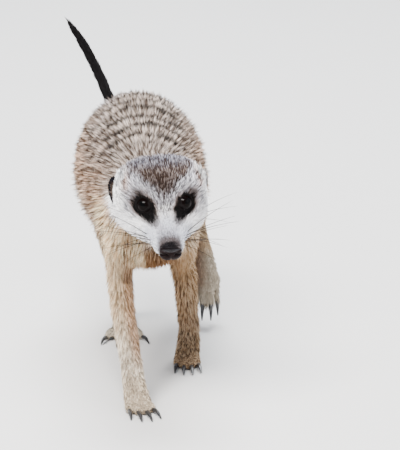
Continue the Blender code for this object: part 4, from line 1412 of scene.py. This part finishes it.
# Soft lights: name, place, size, height, power in watts, and colour
LIGHTS = (
    ("key", (-0.42, -0.85, 1.25), 1.0, 0.42, 82, (1.0, 0.97, 0.93)),
    ("top", (0.15, 0.9, 2.0), 1.2, 1.2, 170, (0.95, 0.98, 1.0)),
    ("fill", (1.6, -1.0, 0.9), 1.6, 1.6, 18, (1.0, 0.95, 0.9)),
)
LIGHTS_AIM = (0.0, -0.05, 0.09)
SKY_COLOUR = (0.80, 0.87, 1.0, 1.0)
SKY_POWER = 0.90


def make_lights():
    """An even pale sky and the soft lights."""
    world = bpy.data.worlds.new("studio")
    bpy.context.scene.world = world
    world.use_nodes = True
    sky = world.node_tree.nodes["Background"].inputs
    sky[0].default_value = SKY_COLOUR
    sky[1].default_value = SKY_POWER
    for name, place, size, height, power, colour in LIGHTS:
        light = bpy.data.lights.new(name, "AREA")
        light.shape = "RECTANGLE"
        light.size = size
        light.size_y = height
        light.energy = power
        light.color = colour
        obj = placed(name, light)
        obj.location = place
        obj.rotation_mode = "QUATERNION"
        obj.rotation_quaternion = (Vector(LIGHTS_AIM) - Vector(place)).to_track_quat("-Z", "Y")


def make_camera():
    """The camera, level from side to side."""
    data = bpy.data.cameras.new("camera")
    data.sensor_width = CAMERA_SENSOR
    data.sensor_fit = "AUTO"
    data.lens = CAMERA_LENS
    data.clip_end = 50
    camera = placed("camera", data)
    azimuth, elevation = math.radians(CAMERA_AZIMUTH), math.radians(CAMERA_ELEVATION)
    level = math.cos(elevation)
    back = Vector((math.sin(azimuth) * level, -math.cos(azimuth) * level, math.sin(elevation)))
    right = Vector((math.cos(azimuth), math.sin(azimuth), 0))
    place = Vector(CAMERA_PLACE) + Vector(SHIFT) * MM
    turn = Matrix((right, back.cross(right), back)).transposed()
    camera.matrix_world = Matrix.Translation(place) @ turn.to_4x4()
    bpy.context.scene.camera = camera


# ---------------------------------------------------------------- add-on

BUILT = {}                  # what one operator leaves for the next
FEWEST_POINTS = 1000        # a skin of fewer points has failed
PIECES = ("skin", "coat", "eyes", "nose", "claws", "whiskers", "stage")


class MeerkatSettings(bpy.types.PropertyGroup):
    """The sizes and colours that a user would change"""
    coat_thickness: FloatProperty(
        name="Coat thickness", description="Share of the tufts that grow, 1 for the full coat",
        default=1.0, min=0.05, max=1.2)
    whisker_length: FloatProperty(
        name="Whisker length", description="Length of a middling whisker",
        default=0.028, min=0.005, max=0.05, unit="LENGTH")
    eye_radius: FloatProperty(
        name="Eye radius", description="Radius of each eyeball in millimetres",
        default=EYE_RADIUS, min=4.0, max=5.4)
    floor_colour: FloatVectorProperty(
        name="Floor colour", description="Colour of the studio floor",
        default=(0.52, 0.51, 0.50), subtype="COLOR", size=3, min=0, max=1)


class MEERKAT_OT_skin(bpy.types.Operator):
    """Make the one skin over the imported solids"""
    bl_idname = "meerkat.skin"
    bl_label = "Skin"

    def execute(self, context):
        BUILT["skin"] = make_skin()
        if len(BUILT["skin"][0]) < FEWEST_POINTS:
            raise RuntimeError("the skin came out empty")
        return {"FINISHED"}


class MEERKAT_OT_coat(bpy.types.Operator):
    """Grow the coat's tufts on the skin"""
    bl_idname = "meerkat.coat"
    bl_label = "Coat"

    def execute(self, context):
        if "skin" not in BUILT:
            raise RuntimeError("the coat needs the skin first")
        thickness = context.scene.meerkat.coat_thickness
        make_coat(*BUILT["skin"], thickness * (1.0))
        return {"FINISHED"}


class MEERKAT_OT_eyes(bpy.types.Operator):
    """Make both eyes"""
    bl_idname = "meerkat.eyes"
    bl_label = "Eyes"

    def execute(self, context):
        mat = eye_material()
        for side, word, centre in zip((-1, 1), ("right", "left"), eye_centres()):
            make_eye(side, word, centre, context.scene.meerkat.eye_radius, mat)
        return {"FINISHED"}


class MEERKAT_OT_nose(bpy.types.Operator):
    """Make the nose pad"""
    bl_idname = "meerkat.nose"
    bl_label = "Nose"

    def execute(self, context):
        make_nose()
        return {"FINISHED"}


class MEERKAT_OT_claws(bpy.types.Operator):
    """Give the claws their horn"""
    bl_idname = "meerkat.claws"
    bl_label = "Claws"

    def execute(self, context):
        if dress_claws() == 0:
            raise RuntimeError("no claws were found")
        return {"FINISHED"}


class MEERKAT_OT_whiskers(bpy.types.Operator):
    """Set the whiskers on the muzzle, cheeks and brows"""
    bl_idname = "meerkat.whiskers"
    bl_label = "Whiskers"

    def execute(self, context):
        make_whiskers(context.scene.meerkat.whisker_length)
        return {"FINISHED"}


class MEERKAT_OT_stage(bpy.types.Operator):
    """Make the floor, lights and camera"""
    bl_idname = "meerkat.stage"
    bl_label = "Stage"

    def execute(self, context):
        make_floor(tuple(context.scene.meerkat.floor_colour))
        make_lights()
        make_camera()
        return {"FINISHED"}


class MEERKAT_OT_all(bpy.types.Operator):
    """Make the whole meerkat and its stage"""
    bl_idname = "meerkat.all"
    bl_label = "Whole meerkat"

    def execute(self, context):
        for piece in PIECES:
            if getattr(bpy.ops.meerkat, piece)() != {"FINISHED"}:
                raise RuntimeError(f"{piece} wasn't finished")
        return {"FINISHED"}


class MEERKAT_PT_panel(bpy.types.Panel):
    """The meerkat's settings and pieces, in the 3D view's sidebar"""
    bl_label = "Meerkat"
    bl_idname = "MEERKAT_PT_panel"
    bl_space_type = "VIEW_3D"
    bl_region_type = "UI"
    bl_category = "Meerkat"

    def draw(self, context):
        layout = self.layout
        settings = context.scene.meerkat
        for name in ("coat_thickness", "whisker_length", "eye_radius", "floor_colour"):
            layout.prop(settings, name)
        for name in ("all", *PIECES):
            layout.operator("meerkat." + name)


CLASSES = (
    MeerkatSettings, MEERKAT_OT_skin, MEERKAT_OT_coat, MEERKAT_OT_eyes, MEERKAT_OT_nose, MEERKAT_OT_claws,
    MEERKAT_OT_whiskers, MEERKAT_OT_stage, MEERKAT_OT_all, MEERKAT_PT_panel,
)


def register():
    for cls in CLASSES:
        bpy.utils.register_class(cls)
    bpy.types.Scene.meerkat = PointerProperty(type=MeerkatSettings)


def unregister():
    del bpy.types.Scene.meerkat
    for cls in reversed(CLASSES):
        bpy.utils.unregister_class(cls)


def main():
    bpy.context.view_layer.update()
    register()
    if bpy.ops.meerkat.all() != {"FINISHED"}:
        raise RuntimeError("the meerkat wasn't finished")


if __name__ == "__main__":
    main()
